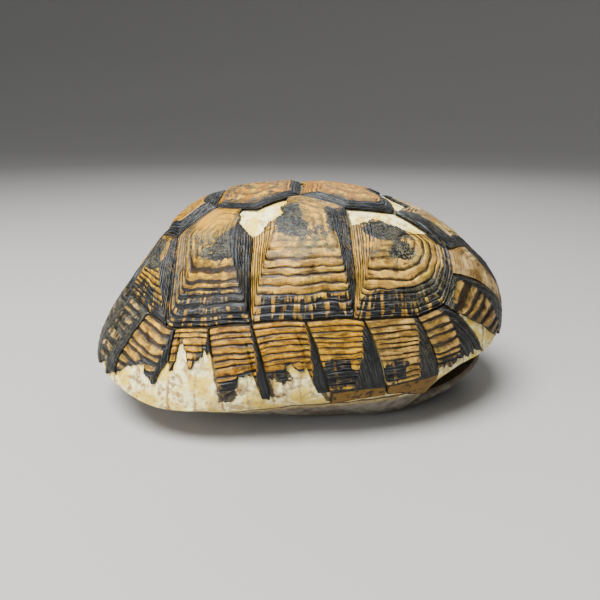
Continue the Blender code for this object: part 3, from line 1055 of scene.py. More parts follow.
    def marks(self, chart: Points, share: Points, edges: list[Edge], in_areola: Points) -> dict:
        """The colour marks at each point.

        Args:
            chart: The points of the chart.
            share: Shares of the ring zone.
            edges: The edge that each column of points belongs to.
            in_areola: 1 in the areola and 0 outside it.

        Returns:
            A value of each mark.
        """
        begins = {
            Edge.FRONT: self.banding.front,
            Edge.FOOT: self.banding.foot,
            Edge.REAR: self.banding.rear,
            Edge.TOP: self.banding.top,
        }
        begin = np.array([begins[edge] for edge in edges])
        at_foot = np.array([float(edge is Edge.FOOT) for edge in edges])
        for _ in range(3):
            begin = (np.roll(begin, 1) + begin + np.roll(begin, -1)) / 3
            at_foot = (np.roll(at_foot, 1) + at_foot + np.roll(at_foot, -1)) / 3
        black = np.clip((share - begin) / self.black_turn, -1.1, 1.7)
        spotted = (self.banding.areola_dark - 0.5) * 1.6
        black = black * (1 - in_areola) + spotted * in_areola
        black = black + marked(chart, Tone.BLACK) - marked(chart, Tone.AMBER)
        foot_dashes = at_foot * smooth_step((share - begin + 0.12) / 0.2)
        side_dashes = 0.0 if self.mirrored else 0.3 * (1 - at_foot) * (share > 0.4)
        weathered = marked(chart, Tone.WEATHERED) + 0.35 * in_areola + self.banding.weathered
        return {
            "black": black,
            "areola": in_areola,
            "dashes": foot_dashes + side_dashes,
            "tan": np.full(share.shape, self.banding.tan),
            "weathered": np.clip(weathered, 0, 1),
            "thick": self.banding.thick_grooves - 0.35 * at_foot * share,
        }


def resampled_corners(closed: Points, steps: int = 12) -> Points:
    """Points along each side of a closed line of corners.

    Args:
        closed: The corners, with the first again at the end.
        steps: How many steps each side is cut into.

    Returns:
        The points.
    """
    shares = np.arange((len(closed) - 1) * steps + 1) / steps
    return np.stack([np.interp(shares, np.arange(len(closed)), closed[:, axis]) for axis in (0, 1)], -1)


@dataclass
class RimScute:
    """A marginal scute: a horn plate that folds over the rim, with L-shaped growth rings.

    Its areola is at the foot, towards the tail, so its rings run along its top and down its front edge.
    """

    name: str
    side: Side
    top: tuple[Place, ...]
    rim: tuple[float, float]
    end: tuple[tuple[float, float], ...]
    wedge: tuple[float, float]
    look: RimLook
    rings: RingGrowth
    both_sides: bool = False
    columns: int = 60
    over_rows: int = 66
    under_rows: int = 12
    splinters: float = 0.7 * MM
    height: float = 1.0 * MM
    bevel: float = 0.55 * MM
    lump_size: float = 3.0 * MM
    pit_size: float = 0.8 * MM
    jags: tuple[tuple[float, float], ...] = ((3.1, 0.014), (1.0, 0.02))
    descent_length: float = 42 * MM

    def build(self) -> bpy.types.Object:
        """Makes the scute.

        Returns:
            The object.
        """
        shares = np.linspace(0, 1, self.columns + 1)
        top_line, rim_line = self.lines(shares)
        width = np.linalg.norm(FORM.on_bone(rim_line[-1]) - FORM.on_bone(rim_line[0]))
        inset = WEAR.seam_gap / width
        squeezed = inset + (1 - 2 * inset) * shares
        top_line, rim_line = self.lines(squeezed)
        fall = np.linalg.norm(FORM.on_bone(rim_line) - FORM.on_bone(top_line), axis=-1)
        top_line = top_line + (rim_line - top_line) * (WEAR.seam_gap / fall)[:, None]
        ends = np.interp(shares, *zip(*self.end))
        broken = ends < 0.999
        ragged = sum(
            amount * GRAIN.at(size, shares * width / MM, len(self.name) + ord(self.name[-3]), 2.5)
            for size, amount in self.jags
        )
        ends = np.where(broken, ends + ragged, ends)

        over_end = np.minimum(ends, 1)
        top_descent = np.linalg.norm(top_line, axis=-1)
        foot = top_line + (rim_line - top_line) * ((over_end - top_descent) / (1 - top_descent))[:, None]
        down = np.linspace(0, 1, self.over_rows + 1)[:, None]
        chart = top_line + (foot - top_line) * down[..., None]
        depth = down * ((over_end - top_descent) / (1 - top_descent))
        if ends.max() > 1:
            under = np.linspace(0, 1, self.under_rows + 1)[1:, None]
            chart = np.concatenate([chart, rim_line * (1 + (ends - 1) * under)[..., None]])
            depth = np.concatenate([depth, 1 + under * np.ones_like(ends) * 0.4])
        chart = wandering(chart)
        across = np.broadcast_to(shares, depth.shape)

        place = FORM.on_bone(chart)
        in_front, number, along = self.growth_at(across, depth, place, width, fall.mean())
        lumps = GRAIN.at(self.lump_size, place[..., 0], place[..., 1], place[..., 2])
        pits = GRAIN.at(self.pit_size, place[..., 0], place[..., 1], place[..., 2])
        ring_width = np.where(in_front, width * self.wedge[1], fall.mean()) / self.rings.count
        on_top = 1 - smooth_step((depth - 0.99) / 0.04)
        vigour = on_top * min(1, 1 + 0.8 * self.look.thick_grooves)
        height = self.height + self.rings.relief(number, ring_width, place) * vigour
        height = height + WEAR.lump_height * lumps * on_top + WEAR.pit_height * pits
        short_of_end = (over_end - np.linalg.norm(chart, axis=-1)) * self.descent_length
        to_break = np.where(broken & (ends < 0.99), short_of_end, 1.0)
        height = WEAR.worn(height, self.bevels(across, depth, width, fall.mean()), to_break)
        marks = self.marks(chart, across, depth, in_front)
        marks["black"] = marks["black"] + 1.3 * np.exp(-((to_break / self.splinters) ** 2))

        skin = Skin()
        growth = np.stack([along, number], -1)
        grid = skin.add(FORM.raised(chart, height), growth, **marks)
        skin.join_rows(grid, closed=False)
        border = np.concatenate([grid[0, :-1], grid[:-1, -1], grid[-1, :0:-1], grid[:0:-1, 0]])
        flat_chart = chart.reshape(-1, 2)[border]
        middle = flat_chart.mean(0)
        sunk = middle + (flat_chart - middle) * np.array([1, 0.6, 0.25])[:, None, None]
        # Painted shade: the wall under the horn's edge and its hidden base are black, partly the horn's own
        # dark edge.
        below = skin.add(FORM.raised(sunk, -WEAR.sunk), growth.reshape(-1, 2)[border], black=1.0)
        root = skin.add(FORM.raised(middle[None], np.array([-WEAR.sunk])), None, black=1.0)
        skin.join_rows(np.concatenate([border[None], below]), closed=True)
        skin.close_fan(below[-1], int(root[0]))
        return skin.build(f"{self.name}_horn", WEAR.crease_degrees)

    def lines(self, shares: Points) -> tuple[Points, Points]:
        """The scute's top seam and the stretch of rim under it.

        Args:
            shares: Shares of the way across, from the front to the rear.

        Returns:
            The two lines, as points of the chart.
        """
        if self.both_sides:
            place = self.top[0]
            top = [on_chart(place, Side.RIGHT), on_chart(place, Side.LEFT)]
            first = math.radians(self.rim[0])
            last = first if self.rim[0] < 90 else first - 2 * math.pi
            azimuths = -first + (last + first) * shares
        else:
            top = [on_chart(place, self.side) for place in self.top]
            azimuths = self.side.value * np.radians(self.rim[0] + (self.rim[1] - self.rim[0]) * shares)
        return resampled(np.array(top), shares), np.stack([np.cos(azimuths), np.sin(azimuths)], -1)

    def growth_at(
        self, across: Points, depth: Points, place: Points, width: float, fall: float
    ) -> tuple[Points, ...]:
        """Where each point is among the rings.

        Args:
            across: Shares of the way from the front edge to the rear one.
            depth: Shares of the way down to the rim, over 1 beyond it.
            place: The points, in metres.
            width: The scute's width in metres.
            fall: Its height in metres.

        Returns:
            Whether each point is in the front arm of its L, the number of rings, and millimetres along them.
        """
        wedge = self.wedge[0] + (self.wedge[1] - self.wedge[0]) * np.clip(depth, 0, 1)
        from_top = 1 - np.clip(depth, 0, 1)
        if self.both_sides:
            across = np.abs(across - 0.5) * 2
            from_front = np.clip(across - (1 - wedge), 0, None) / np.maximum(wedge, 1e-6)
        else:
            from_front = np.clip(1 - across / np.maximum(wedge, 1e-6), 0, 1)
        in_front = from_front > 0
        number = self.rings.number(from_top + (1 - from_top) * from_front, place)
        along = np.where(in_front, depth * fall / MM + 40, across * width / MM)
        return in_front, number, along

    def bevels(self, across: Points, depth: Points, width: float, fall: float) -> Points:
        """How far the edges are rounded down, from 0 at a seam to 1 away from it.

        Args:
            across: Shares of the way from the front edge to the rear one.
            depth: Shares of the way down to the rim.
            width: The scute's width in metres.
            fall: Its height in metres.

        Returns:
            The shares.
        """
        sides = np.minimum(across, 1 - across) * width
        return smooth_step(np.minimum(sides, depth * fall) / self.bevel) ** 0.7

    def marks(self, chart: Points, across: Points, depth: Points, in_front: Points) -> dict:
        """The colour marks at each point.

        Args:
            chart: The points of the chart.
            across: Shares of the way from the front edge to the rear one.
            depth: Shares of the way down to the rim.
            in_front: Whether each point is in the front arm of the rings.

        Returns:
            A value of each mark.
        """
        wedge = self.wedge[0] + (self.wedge[1] - self.wedge[0]) * np.clip(depth, 0, 1)
        inside = np.abs(across - 0.5) * 2 - (1 - wedge) if self.both_sides else wedge - across
        black = np.clip(inside / 0.12, -1, 1) + (self.look.areola_dark - 0.5)
        under = smooth_step((depth - 1.0) / 0.03)
        black = black * (1 - under) - 0.9 * under
        black = black + (marked(chart, Tone.BLACK) - marked(chart, Tone.AMBER)) * (1 - under)
        near_sides = np.exp(-((np.minimum(across, 1 - across) / 0.03) ** 2))
        near_fold = np.exp(-(((depth - 0.995) / 0.012) ** 2)) * (depth > 0.9)
        near_end = np.exp(-(((depth - 1.4) / 0.04) ** 2)) * (depth > 1.1)
        black = black + 1.4 * under * near_sides + 1.2 * near_fold + 1.4 * near_end
        return {
            "black": black,
            "areola": 0.0,
            "dashes": 0.35 * (1 - in_front) * (1 - under),
            "tan": self.look.tan,
            "weathered": np.clip(marked(chart, Tone.WEATHERED) + self.look.weathered, 0, 1),
            "thick": self.look.thick_grooves,
            "ventral": under,
        }


# --- The bone --------------------------------------------------------------------------------------------


@dataclass
class BoneShell:
    """Carapace, bridges and plastron: one bony wall, open at the head, the limbs and the tail."""

    seams: list[Points]
    bare_seams: list[Points]
    columns: int = 432
    dome_rows: int = 100
    under_rows: int = 22
    plastron_rows: int = 40
    thickness: float = 3.0 * MM
    edge_bulge: float = 0.28
    crease_degrees: float = 50
    seam_depth: float = 0.3 * MM
    seam_width: float = 1.1 * MM
    bare_depth: float = 0.2 * MM
    bare_width: float = 0.5 * MM
    plate_seam_width: float = 0.8 * MM
    swell: tuple[float, float] = (8.0 * MM, 0.12 * MM)
    lump: tuple[float, float] = (3.4 * MM, 0.1 * MM)
    grit: tuple[float, float] = (1.1 * MM, 0.03 * MM)
    plate_seams: tuple[tuple[float, float], ...] = (
        (0.83, -0.14), (0.5, -0.05), (0.33, 0.03), (-0.32, -0.04), (-0.66, 0.12),
    )
    inner_descents: tuple[float, ...] = (0.1, 0.2, 0.3, 0.4, 0.5, 0.6, 0.7, 0.78, 0.85, 0.91, 0.955)
    inner_under: tuple[float, ...] = (1.42, 1.7)
    inner_plastron: tuple[float, ...] = (0.92, 0.8, 0.65, 0.5, 0.35, 0.2)

    def build(self, bone: bpy.types.Material) -> None:
        """Builds and dresses the bone.

        Args:
            bone: Its material.
        """
        azimuths = np.arange(self.columns) * 2 * math.pi / self.columns
        degrees = np.abs(np.degrees(np.arctan2(np.sin(azimuths), np.cos(azimuths))))
        bridged = (degrees >= FORM.bridge_front) & (degrees <= FORM.bridge_rear)
        skin = Skin()
        outer = self.sheet(skin, azimuths, bridged, outer=True)
        inner = self.sheet(skin, azimuths, bridged, outer=False)
        self.close_openings(skin, bridged, outer, inner)
        dress(skin.build("bone_surface", self.crease_degrees), bone, "bone_shell")

    def sheet(self, skin: Skin, azimuths: Points, bridged: Points, outer: bool) -> dict[str, Points]:
        """Adds the outer or the inner face of the wall.

        Args:
            skin: The mesh in the making.
            azimuths: The columns' azimuths, in radians.
            bridged: Whether each column is on a bridge.
            outer: Whether this is the outer face.

        Returns:
            The indices of the free rim's lip and of the plastron's edge.
        """
        if outer:
            dome = np.linspace(0, 1, self.dome_rows + 1)[1:] ** 0.92
            under = 1 + np.linspace(0, 1, self.under_rows + 1)[1:]
            shares = np.linspace(1, 0, self.plastron_rows + 1)[:-1]
        else:
            dome = np.array(self.inner_descents)
            under = np.array([*self.inner_under, 2.0])
            shares = np.array([1.0, *self.inner_plastron])
        descents = np.concatenate([dome, under])
        chart = descents[:, None, None] * np.stack([np.cos(azimuths), np.sin(azimuths)], -1)
        floor = FORM.plastron(azimuths, shares[:, None] * np.ones(len(azimuths)))
        crown = np.array([[1e-6, 0.0]])
        heart = FORM.plastron(np.array([0.0]), np.array([0.0]))
        if outer:
            marks, depth = self.wear(FORM.on_bone(chart), chart)
            upper = FORM.raised(chart, -depth)
            floor_marks, floor_depth = self.wear(floor, None)
            floor = floor + np.stack([np.zeros_like(floor_depth)] * 2 + [floor_depth], -1)
            top = skin.add(upper, None, **marks)
            crest = skin.add(FORM.raised(crown, np.array([0.0])), None)
            bottom = skin.add(floor, None, **floor_marks)
            middle = skin.add(heart, None, weathered=1.0)
        else:
            upper = FORM.raised(chart, -self.thickness)
            upper[-1] = FORM.on_bone(chart[-1]) + [0, 0, self.thickness]
            floor = floor + [0, 0, self.thickness]
            inward = -floor[0] * [1, 1, 0]
            inward /= np.linalg.norm(inward, axis=-1, keepdims=True)
            floor[0] += inward * (self.thickness * FORM.bridge_share(azimuths))[:, None]
            # The areola mark on the inner face calls for its painted shade.
            top = skin.add(upper, None, areola=1.0)
            crest = skin.add(FORM.raised(crown, np.array([-self.thickness])), None, areola=1.0)
            bottom = skin.add(floor, None, areola=1.0, weathered=1.0)
            middle = skin.add(heart + [0, 0, self.thickness], None, areola=1.0, weathered=1.0)
        lip = np.where(bridged, bottom[0], top[-1])
        rows = np.concatenate([top[:-1], lip[None]])
        turn = 1 if outer else -1
        rows, bottom_rows = rows[:, ::turn], bottom[:, ::turn]
        skin.join_rows(rows, closed=True)
        skin.close_fan(rows[0][::-1], int(crest[0]))
        skin.join_rows(bottom_rows, closed=True)
        skin.close_fan(bottom_rows[-1], int(middle[0]))
        return {"lip": lip, "edge": bottom[0]}

    def close_openings(
        self, skin: Skin, bridged: Points, outer: dict[str, Points], inner: dict[str, Points]
    ) -> None:
        """Joins the outer and inner faces with a rounded edge round both openings.

        Args:
            skin: The mesh in the making.
            bridged: Whether each column is on a bridge.
            outer: The outer face's lip and edge.
            inner: The inner face's lip and edge.
        """
        points = np.concatenate(skin.points)
        free = ~(bridged & np.roll(bridged, -1))
        for name in ("lip", "edge"):
            out, into = outer[name], inner[name]
            middle_points = (points[out] + points[into]) / 2
            outward = middle_points * [1, 1, 0]
            outward /= np.linalg.norm(outward, axis=-1, keepdims=True)
            sign = -1 if name == "lip" else 1
            bulge = self.edge_bulge * self.thickness * (1 - bridged) * sign
            middle_points = middle_points + outward * bulge[:, None]
            middle = skin.add(middle_points, None, weathered=float(name == "edge"))
            for first, second in ((out, middle), (middle, into)):
                after = [np.roll(row, -1) for row in (first, second)]
                quads = np.stack([first, after[0], after[1], second], -1)[free]
                skin.quads.append(quads if name == "lip" else quads[:, ::-1])

    def wear(self, place: Points, chart: Points | None) -> tuple[dict, Points]:
        """Marks and relief of the outer face.

        Args:
            place: Its points, in metres.
            chart: The same points on the chart, or None for the plastron.

        Returns:
            A value of each mark, and how far each point is sunk, in metres.
        """
        seam = self.nearness(place, self.seams, self.seam_width)
        towards_rear = smooth_step((-place[..., 0] - 10 * MM) / (40 * MM))
        low_rear = towards_rear * smooth_step((45 * MM - place[..., 2]) / (30 * MM))
        if chart is None:
            gap = self.to_plate_seam(place)
            sunk = self.seam_depth * np.exp(-((gap / self.plate_seam_width) ** 2))
            return {"tan": low_rear, "weathered": 1.0, "plate_seam": gap / MM, "rim_band": -1.0}, sunk
        bare = self.nearness(place, self.bare_seams, self.bare_width)
        depth = self.seam_depth * seam + self.bare_depth * bare
        for size, height in (self.swell, self.lump, self.grit):
            depth = depth + height * GRAIN.at(size, place[..., 0], place[..., 1], place[..., 2])
        azimuth = np.degrees(np.abs(np.arctan2(chart[..., 1], chart[..., 0])))
        descent = np.linalg.norm(chart, axis=-1)
        to_plastron = smooth_step((descent - 1.1) / 0.3) * FORM.bridge_share(np.radians(azimuth))
        depth = depth * (1 - to_plastron)
        marks = {
            # Painted shade along the seams that horn lies beside, and weaker dark lines along the bare ones.
            "black": np.maximum(seam, 0.62 * bare),
            "tan": np.clip(low_rear + 3.0 * marked(chart, Tone.REMNANT), 0, 1.4),
            "weathered": to_plastron,
            "rim_place": np.interp(azimuth, RIM_SEAMS, np.arange(len(RIM_SEAMS))),
            "rim_band": smooth_step((descent - 0.7) / 0.04) * (1 - smooth_step((descent - 1.12) / 0.1)),
            "remnant": np.clip(marked(chart, Tone.REMNANT), 0, 1.5),
        }
        return marks, depth

    def to_plate_seam(self, place: Points) -> Points:
        """Distances from the plastron's cross seams, with a sign that turns at each of them.

        Args:
            place: Points of the plastron, in metres.

        Returns:
            The distances, in metres.
        """
        across = np.abs(place[..., 1]) / FORM.plastron_half_width
        nearest = np.full(across.shape, 1.0)
        passed = np.zeros(across.shape)
        for middle, bow in self.plate_seams:
            gap = place[..., 0] - (middle + bow * across**1.6) * FORM.plastron_half_length
            nearest = np.minimum(nearest, np.abs(gap))
            passed += gap > 0
        return nearest * np.where(passed % 2 == 0, 1, -1)

    @staticmethod
    def nearness(place: Points, lines: list[Points], width: float) -> Points:
        """How near points are to lines.

        Args:
            place: The points, in metres.
            lines: The lines' points, close together.
            width: The distance over which nearness fades, in metres.

        Returns:
            1 on a line, fading to 0 away from it.
        """
        line_points = np.concatenate(lines)
        tree = kdtree.KDTree(len(line_points))
        for index, point in enumerate(line_points):
            tree.insert(point, index)
        tree.balance()
        flat = place.reshape(-1, 3)
        away = np.array([tree.find(point)[2] for point in flat]).reshape(place.shape[:-1])
        return np.exp(-((away / width) ** 2))


# --- Materials -------------------------------------------------------------------------------------------


def linear(hex_colour: str) -> tuple[float, float, float, float]:
    """An sRGB hex colour as linear values.

    Args:
        hex_colour: Such as "#c98f3a".

    Returns:
        Red, green, blue and alpha.
    """
    parts = [int(hex_colour[i : i + 2], 16) / 255 for i in (1, 3, 5)]
    return (*(part / 12.92 if part <= 0.04045 else ((part + 0.055) / 1.055) ** 2.4 for part in parts), 1.0)


Socket = bpy.types.NodeSocket


class Kind(Enum):
    """The nodes in use: each one's type, settings, inputs in the order of their values, and output."""

    SPLIT = ("ShaderNodeSeparateXYZ", {}, ("Vector",), 0)
    JOIN = ("ShaderNodeCombineXYZ", {}, ("X", "Y", "Z"), 0)
    GROWTH = ("ShaderNodeUVMap", {"uv_map": "growth"}, (), 0)
    PLACE = ("ShaderNodeTexCoord", {}, (), "Object")
    MARK = ("ShaderNodeAttribute", {}, (), "Fac")
    NOISE = ("ShaderNodeTexNoise", {}, ("Vector", "Scale", "Detail", "Roughness"), 0)
    CELLS = ("ShaderNodeTexVoronoi", {"feature": "F1"}, ("Vector", "Scale"), "Distance")
    STEP = (
        "ShaderNodeMapRange", {"interpolation_type": "SMOOTHSTEP"},
        ("Value", "From Min", "From Max", "To Min", "To Max"), 0)
    BLEND = ("ShaderNodeMix", {"data_type": "RGBA"}, (0, 6, 7), 2)
    ADD = ("ShaderNodeMath", {"operation": "ADD"}, (0, 1), 0)
    LESS = ("ShaderNodeMath", {"operation": "SUBTRACT"}, (0, 1), 0)
    TIMES = ("ShaderNodeMath", {"operation": "MULTIPLY"}, (0, 1), 0)
    TIMES_ADD = ("ShaderNodeMath", {"operation": "MULTIPLY_ADD"}, (0, 1, 2), 0)
    LARGER = ("ShaderNodeMath", {"operation": "MAXIMUM"}, (0, 1), 0)
    SIZE = ("ShaderNodeMath", {"operation": "ABSOLUTE"}, (0,), 0)
    WHOLE = ("ShaderNodeMath", {"operation": "FLOOR"}, (0,), 0)
    PART = ("ShaderNodeMath", {"operation": "FRACT"}, (0,), 0)
    RELIEF = ("ShaderNodeBump", {}, ("Strength", "Distance", "Height"), 0)
    SURFACE = (
        "ShaderNodeBsdfPrincipled", {},
        ("Base Color", "Roughness", "IOR", "Normal", "Coat Weight", "Coat Roughness"), 0)
    OUTPUT = ("ShaderNodeOutputMaterial", {}, ("Surface",), None)


class Recipe:
    """A material in the making."""

    COAT_ROUGHNESS = 0.35

    def __init__(self, name: str) -> None:
        """Starts an empty material.

        Args:
            name: The material's name.
        """
        self.material = bpy.data.materials.new(name)
        self.material.use_nodes = True
        self.tree = self.material.node_tree
        self.tree.nodes.clear()

    def add(self, kind: Kind, *values: Socket | float | str, **settings: str | bool) -> Socket | None:
        """Adds a node with its settings, values and links.

        Args:
            kind: Which node.
            *values: A number, a hex colour or another node's output for each input in turn.
            **settings: Further properties of the node.

        Returns:
            The node's output.
        """
        type_name, fixed, inputs, output = kind.value
        node = self.tree.nodes.new(type_name)
        for name, value in {**fixed, **settings}.items():
            setattr(node, name, value)
        for key, value in zip(inputs, values):
            if isinstance(value, Socket):
                self.tree.links.new(value, node.inputs[key])
            else:
                node.inputs[key].default_value = linear(value) if isinstance(value, str) else value
        return None if output is None else node.outputs[output]

    def mark(self, name: str) -> Socket:
        """A mark's value from the mesh."""
        return self.add(Kind.MARK, attribute_name=name)

    def swing(self, noise: Socket, gain: float) -> Socket:
        """How far a noise is from its middle, times a gain."""
        return self.add(Kind.TIMES_ADD, noise, gain, -0.5 * gain)

    def total(self, *parts: Socket) -> Socket:
        """The sum of several outputs.

        Args:
            *parts: The outputs.

        Returns:
            Their sum.
        """
        result = parts[0]
        for part in parts[1:]:
            result = self.add(Kind.ADD, result, part)
        return result

    def tinted(
        self, colour: Socket | str, tone: str, by: Socket, low: float, high: float, most: float = 1.0,
    ) -> Socket:
        """A colour that turns to another where a value passes from low to high.

        Args:
            colour: The colour below.
            tone: The colour that it turns to.
            by: The value.
            low: Where the turn begins.
            high: Where it ends.
            most: How far it goes, up to 1.

        Returns:
            The colour's output.
        """
        return self.add(Kind.BLEND, self.add(Kind.STEP, by, low, high, 0.0, most), colour, tone)

    def laid_on(self, colour: Socket, tone: str, where: Socket, most: float) -> Socket:
        """A colour with another laid over it.

        Args:
            colour: The colour below.
            tone: The colour on top.
            where: Where it lies, from 0 to 1.
            most: How much it covers there.

        Returns:
            The colour's output.
        """
        return self.add(Kind.BLEND, self.add(Kind.TIMES, where, most), colour, tone)

    def finish(
        self, colour: Socket, roughness: Socket, bump: Socket, ior: float, depth: float, coat: float = 0.0,
    ) -> bpy.types.Material:
        """Ends the material in one shader.

        Args:
            colour: The base colour.
            roughness: The roughness.
            bump: The relief.
            ior: The index of refraction.
            depth: The relief's full depth, in metres.
            coat: How much clear sheen lies on top.

        Returns:
            The material.
        """
        relief = self.add(Kind.RELIEF, 1.0, depth, bump)
        surface = self.add(Kind.SURFACE, colour, roughness, ior, relief, coat, self.COAT_ROUGHNESS)
        self.add(Kind.OUTPUT, surface)
        return self.material


@dataclass(frozen=True)
class KeratinHorn:
    """Keratin horn, grown in yearly rings and dried: a satin sheen over amber and black.

    The eye gets bright amber bars that turn plum-brown towards dark grooves, partly the horn's own tone and
    partly painted shade, fine fibres across each bar, black bands with thin grey threads and grey streaks
    that are partly painted sheen, a dull speckled grey-green where the oldest horn has weathered, and brown
    horn under the rim that is darkened as painted shade.
    """

    name: str = "grown_keratin"
    amber: str = "#8e6600"
    honey: str = "#e2a200"
    cream: str = "#ffd23c"
    rust: str = "#6c480a"
    ochre: str = "#b06408"
    patina: str = "#e7e7e7"
    tan: str = "#96794a"
    pale_tan: str = "#dcbe86"
    # Umber and plum also carry painted shade: umber in the grooves, plum down each bar.
    umber: str = "#1c0f05"
    plum: str = "#382c18"
    black: str = "#06090c"
    brown_black: str = "#100a06"
    # Grey streaks and specks on the black, partly painted sheen.
    slate: str = "#5c6468"
    thread: str = "#8c7d5e"
    # Near-black laid in the grooves of the black bands as painted shade.
    groove: str = "#070707"
    weathered: str = "#837c58"
    # Horn folded in under the rim, darkened as painted shade.
    belly: str = "#7a5a18"
    belly_dark: str = "#1e1204"
    ior: float = 1.35
    # Real fibres of keratin lie about 0.1 mm apart, and its specks are no larger. Both are too fine to show
    # in the render, so they are drawn five times as coarse. The other sizes are the real ones.
    fibre_mm: float = 0.5
    stroke_mm: float = 1.5
    streak_mm: float = 9.0
    fleck_mm: float = 3.4
    patch_mm: float = 7.0
    blotch_mm: float = 2.6
    speck_mm: float = 0.5
    ring_tone_mm: float = 14.0
    streaks_per_ring: float = 6.0
    relief: float = 0.14 * MM
    coat: float = 0.04
    always_black: float = 0.0

    @staticmethod
    def drawn_out(
        mix: Recipe, along: Socket, ring: Socket, length_mm: float, per_ring: float, offset: float,
        detail: float, roughness: float = 0.55,
    ) -> Socket:
        """Noise that is drawn out along the rings.

        Args:
            mix: The material in the making.
            along: Millimetres along the rings.
            ring: The number of the ring.
            length_mm: How long the noise's features are.
            per_ring: How many of them lie across a ring.
            offset: A number that sets this noise apart from the others.
            detail: How many finer layers it has.
            roughness: How strong they are.

        Returns:
            The noise.
        """
        run, across = mix.add(Kind.TIMES, along, 1 / length_mm), mix.add(Kind.TIMES, ring, per_ring)
        return mix.add(Kind.NOISE, mix.add(Kind.JOIN, run, across, offset), 1.0, detail, roughness)

    def material(self) -> bpy.types.Material:
        """Builds the material.

        Returns:
            The material.
        """
        mix = Recipe(self.name)
        add, swing, total, tinted, laid_on = mix.add, mix.swing, mix.total, mix.tinted, mix.laid_on
        along, number, _ = add(Kind.SPLIT, add(Kind.GROWTH)).node.outputs
        place, areola, ventral = add(Kind.PLACE), mix.mark("areola"), mix.mark("ventral")
        marked_black, tan, thick, dashed = [mix.mark(name) for name in ("black", "tan", "thick", "dashes")]

        fibres = self.drawn_out(mix, along, number, self.fibre_mm, 0.7, 0.0, 2.0)
        strokes = self.drawn_out(mix, along, number, self.stroke_mm, 0.3, 9.0, 2.0)
        dashes = self.drawn_out(mix, along, number, self.stroke_mm, 0.2, 19.0, 2.0)
        streaks = self.drawn_out(mix, along, number, self.streak_mm, self.streaks_per_ring, 4.0, 3.0, 0.65)
        flecks = self.drawn_out(mix, along, number, self.fleck_mm, 2.2, 21.0, 3.0, 0.6)
        ring_tone = self.drawn_out(mix, along, add(Kind.WHOLE, number), self.ring_tone_mm, 1.37, 30.0, 1.0)
        patches = add(Kind.NOISE, place, 1 / (self.patch_mm * MM), 3.0, 0.55)
        blotches = add(Kind.NOISE, place, 1 / (self.blotch_mm * MM), 4.0, 0.6)
        specks = add(Kind.NOISE, place, 1 / (self.speck_mm * MM), 2.0, 0.6)

        # The grooves are of uneven width, and each bar is brightest near the older groove: the shade towards
        # the newer groove is painted shade, with some of the horn's own plum tone.
        part = add(Kind.PART, number)
        from_middle = add(Kind.SIZE, add(Kind.LESS, part, 0.5))
        uneven = total(swing(streaks, 0.25), swing(flecks, 0.3), swing(ring_tone, 0.25))
        uneven = add(Kind.TIMES_ADD, thick, 0.15, uneven)
        groove = add(Kind.STEP, add(Kind.ADD, from_middle, uneven), 0.35, 0.45)
        late = total(part, swing(ring_tone, 1.3), swing(blotches, 0.9))
        shade = add(Kind.STEP, add(Kind.TIMES_ADD, thick, 0.2, late), 0.5, 0.95)

        # Amber bars: patches of two ambers, rust blotches, cream flecks, a tone of its own for each ring.
        amber = tinted(self.amber, self.honey, patches, 0.42, 0.6)
        amber = tinted(amber, self.rust, blotches, 0.5, 0.68, 0.75)
        amber = tinted(amber, self.cream, flecks, 0.52, 0.38, 0.6)
        tanned = tinted(self.tan, self.pale_tan, patches, 0.4, 0.6)
        tan_share = add(Kind.ADD, tan, add(Kind.STEP, blotches, 0.44, 0.3, 0.0, 0.2), use_clamp=True)
        amber = add(Kind.BLEND, tan_share, amber, tanned)
        amber = tinted(amber, self.ochre, tan, 0.0, -1.0, 0.8)
        amber = tinted(amber, self.cream, ring_tone, 0.54, 0.7, 0.55)
        amber = tinted(amber, self.rust, ring_tone, 0.46, 0.3, 0.5)
        amber = tinted(amber, self.rust, fibres, 0.55, 0.34, 0.45)
        amber = tinted(amber, self.plum, streaks, 0.46, 0.36, 0.65)
        # Painted shade: plum over each bar towards its newer groove.
        amber = laid_on(amber, self.plum, shade, 0.8)
        amber = tinted(amber, self.umber, flecks, 0.58, 0.68, 0.75)
        # Painted shade in the grooves: umber, over their own dark line.
        groove = add(Kind.TIMES, groove, add(Kind.TIMES_ADD, areola, -0.8, 1.0))
        amber = laid_on(amber, self.umber, groove, 0.94)
        bright = add(Kind.STEP, marked_black, -1.3, -2.2)
        bright = add(Kind.TIMES, bright, add(Kind.STEP, streaks, 0.36, 0.5))
        amber = laid_on(amber, self.honey, bright, 0.75)

        # Where the horn is black: ragged along the rings, blotched in the areola, dashed with amber.
        edge = add(Kind.ADD, marked_black, self.always_black)
        ragged = add(Kind.TIMES_ADD, dashed, 1.3, 0.6)
        edge = add(Kind.TIMES_ADD, add(Kind.LESS, strokes, 0.5), ragged, edge)
        edge = total(edge, swing(patches, 1.7), swing(blotches, 0.9))
        edge = add(Kind.TIMES_ADD, groove, 0.4, edge)
        mottled = total(swing(blotches, 2.2), swing(specks, 1.6))
        edge = add(Kind.TIMES_ADD, mottled, areola, edge)
        is_black = add(Kind.STEP, edge, -0.1, 0.12)
        dash = add(Kind.TIMES, dashed, add(Kind.STEP, dashes, 0.52, 0.62))
        dash = add(Kind.TIMES, dash, add(Kind.LESS, 1.0, groove), use_clamp=True)
        is_black = add(Kind.TIMES, is_black, add(Kind.LESS, 1.0, dash), use_clamp=True)

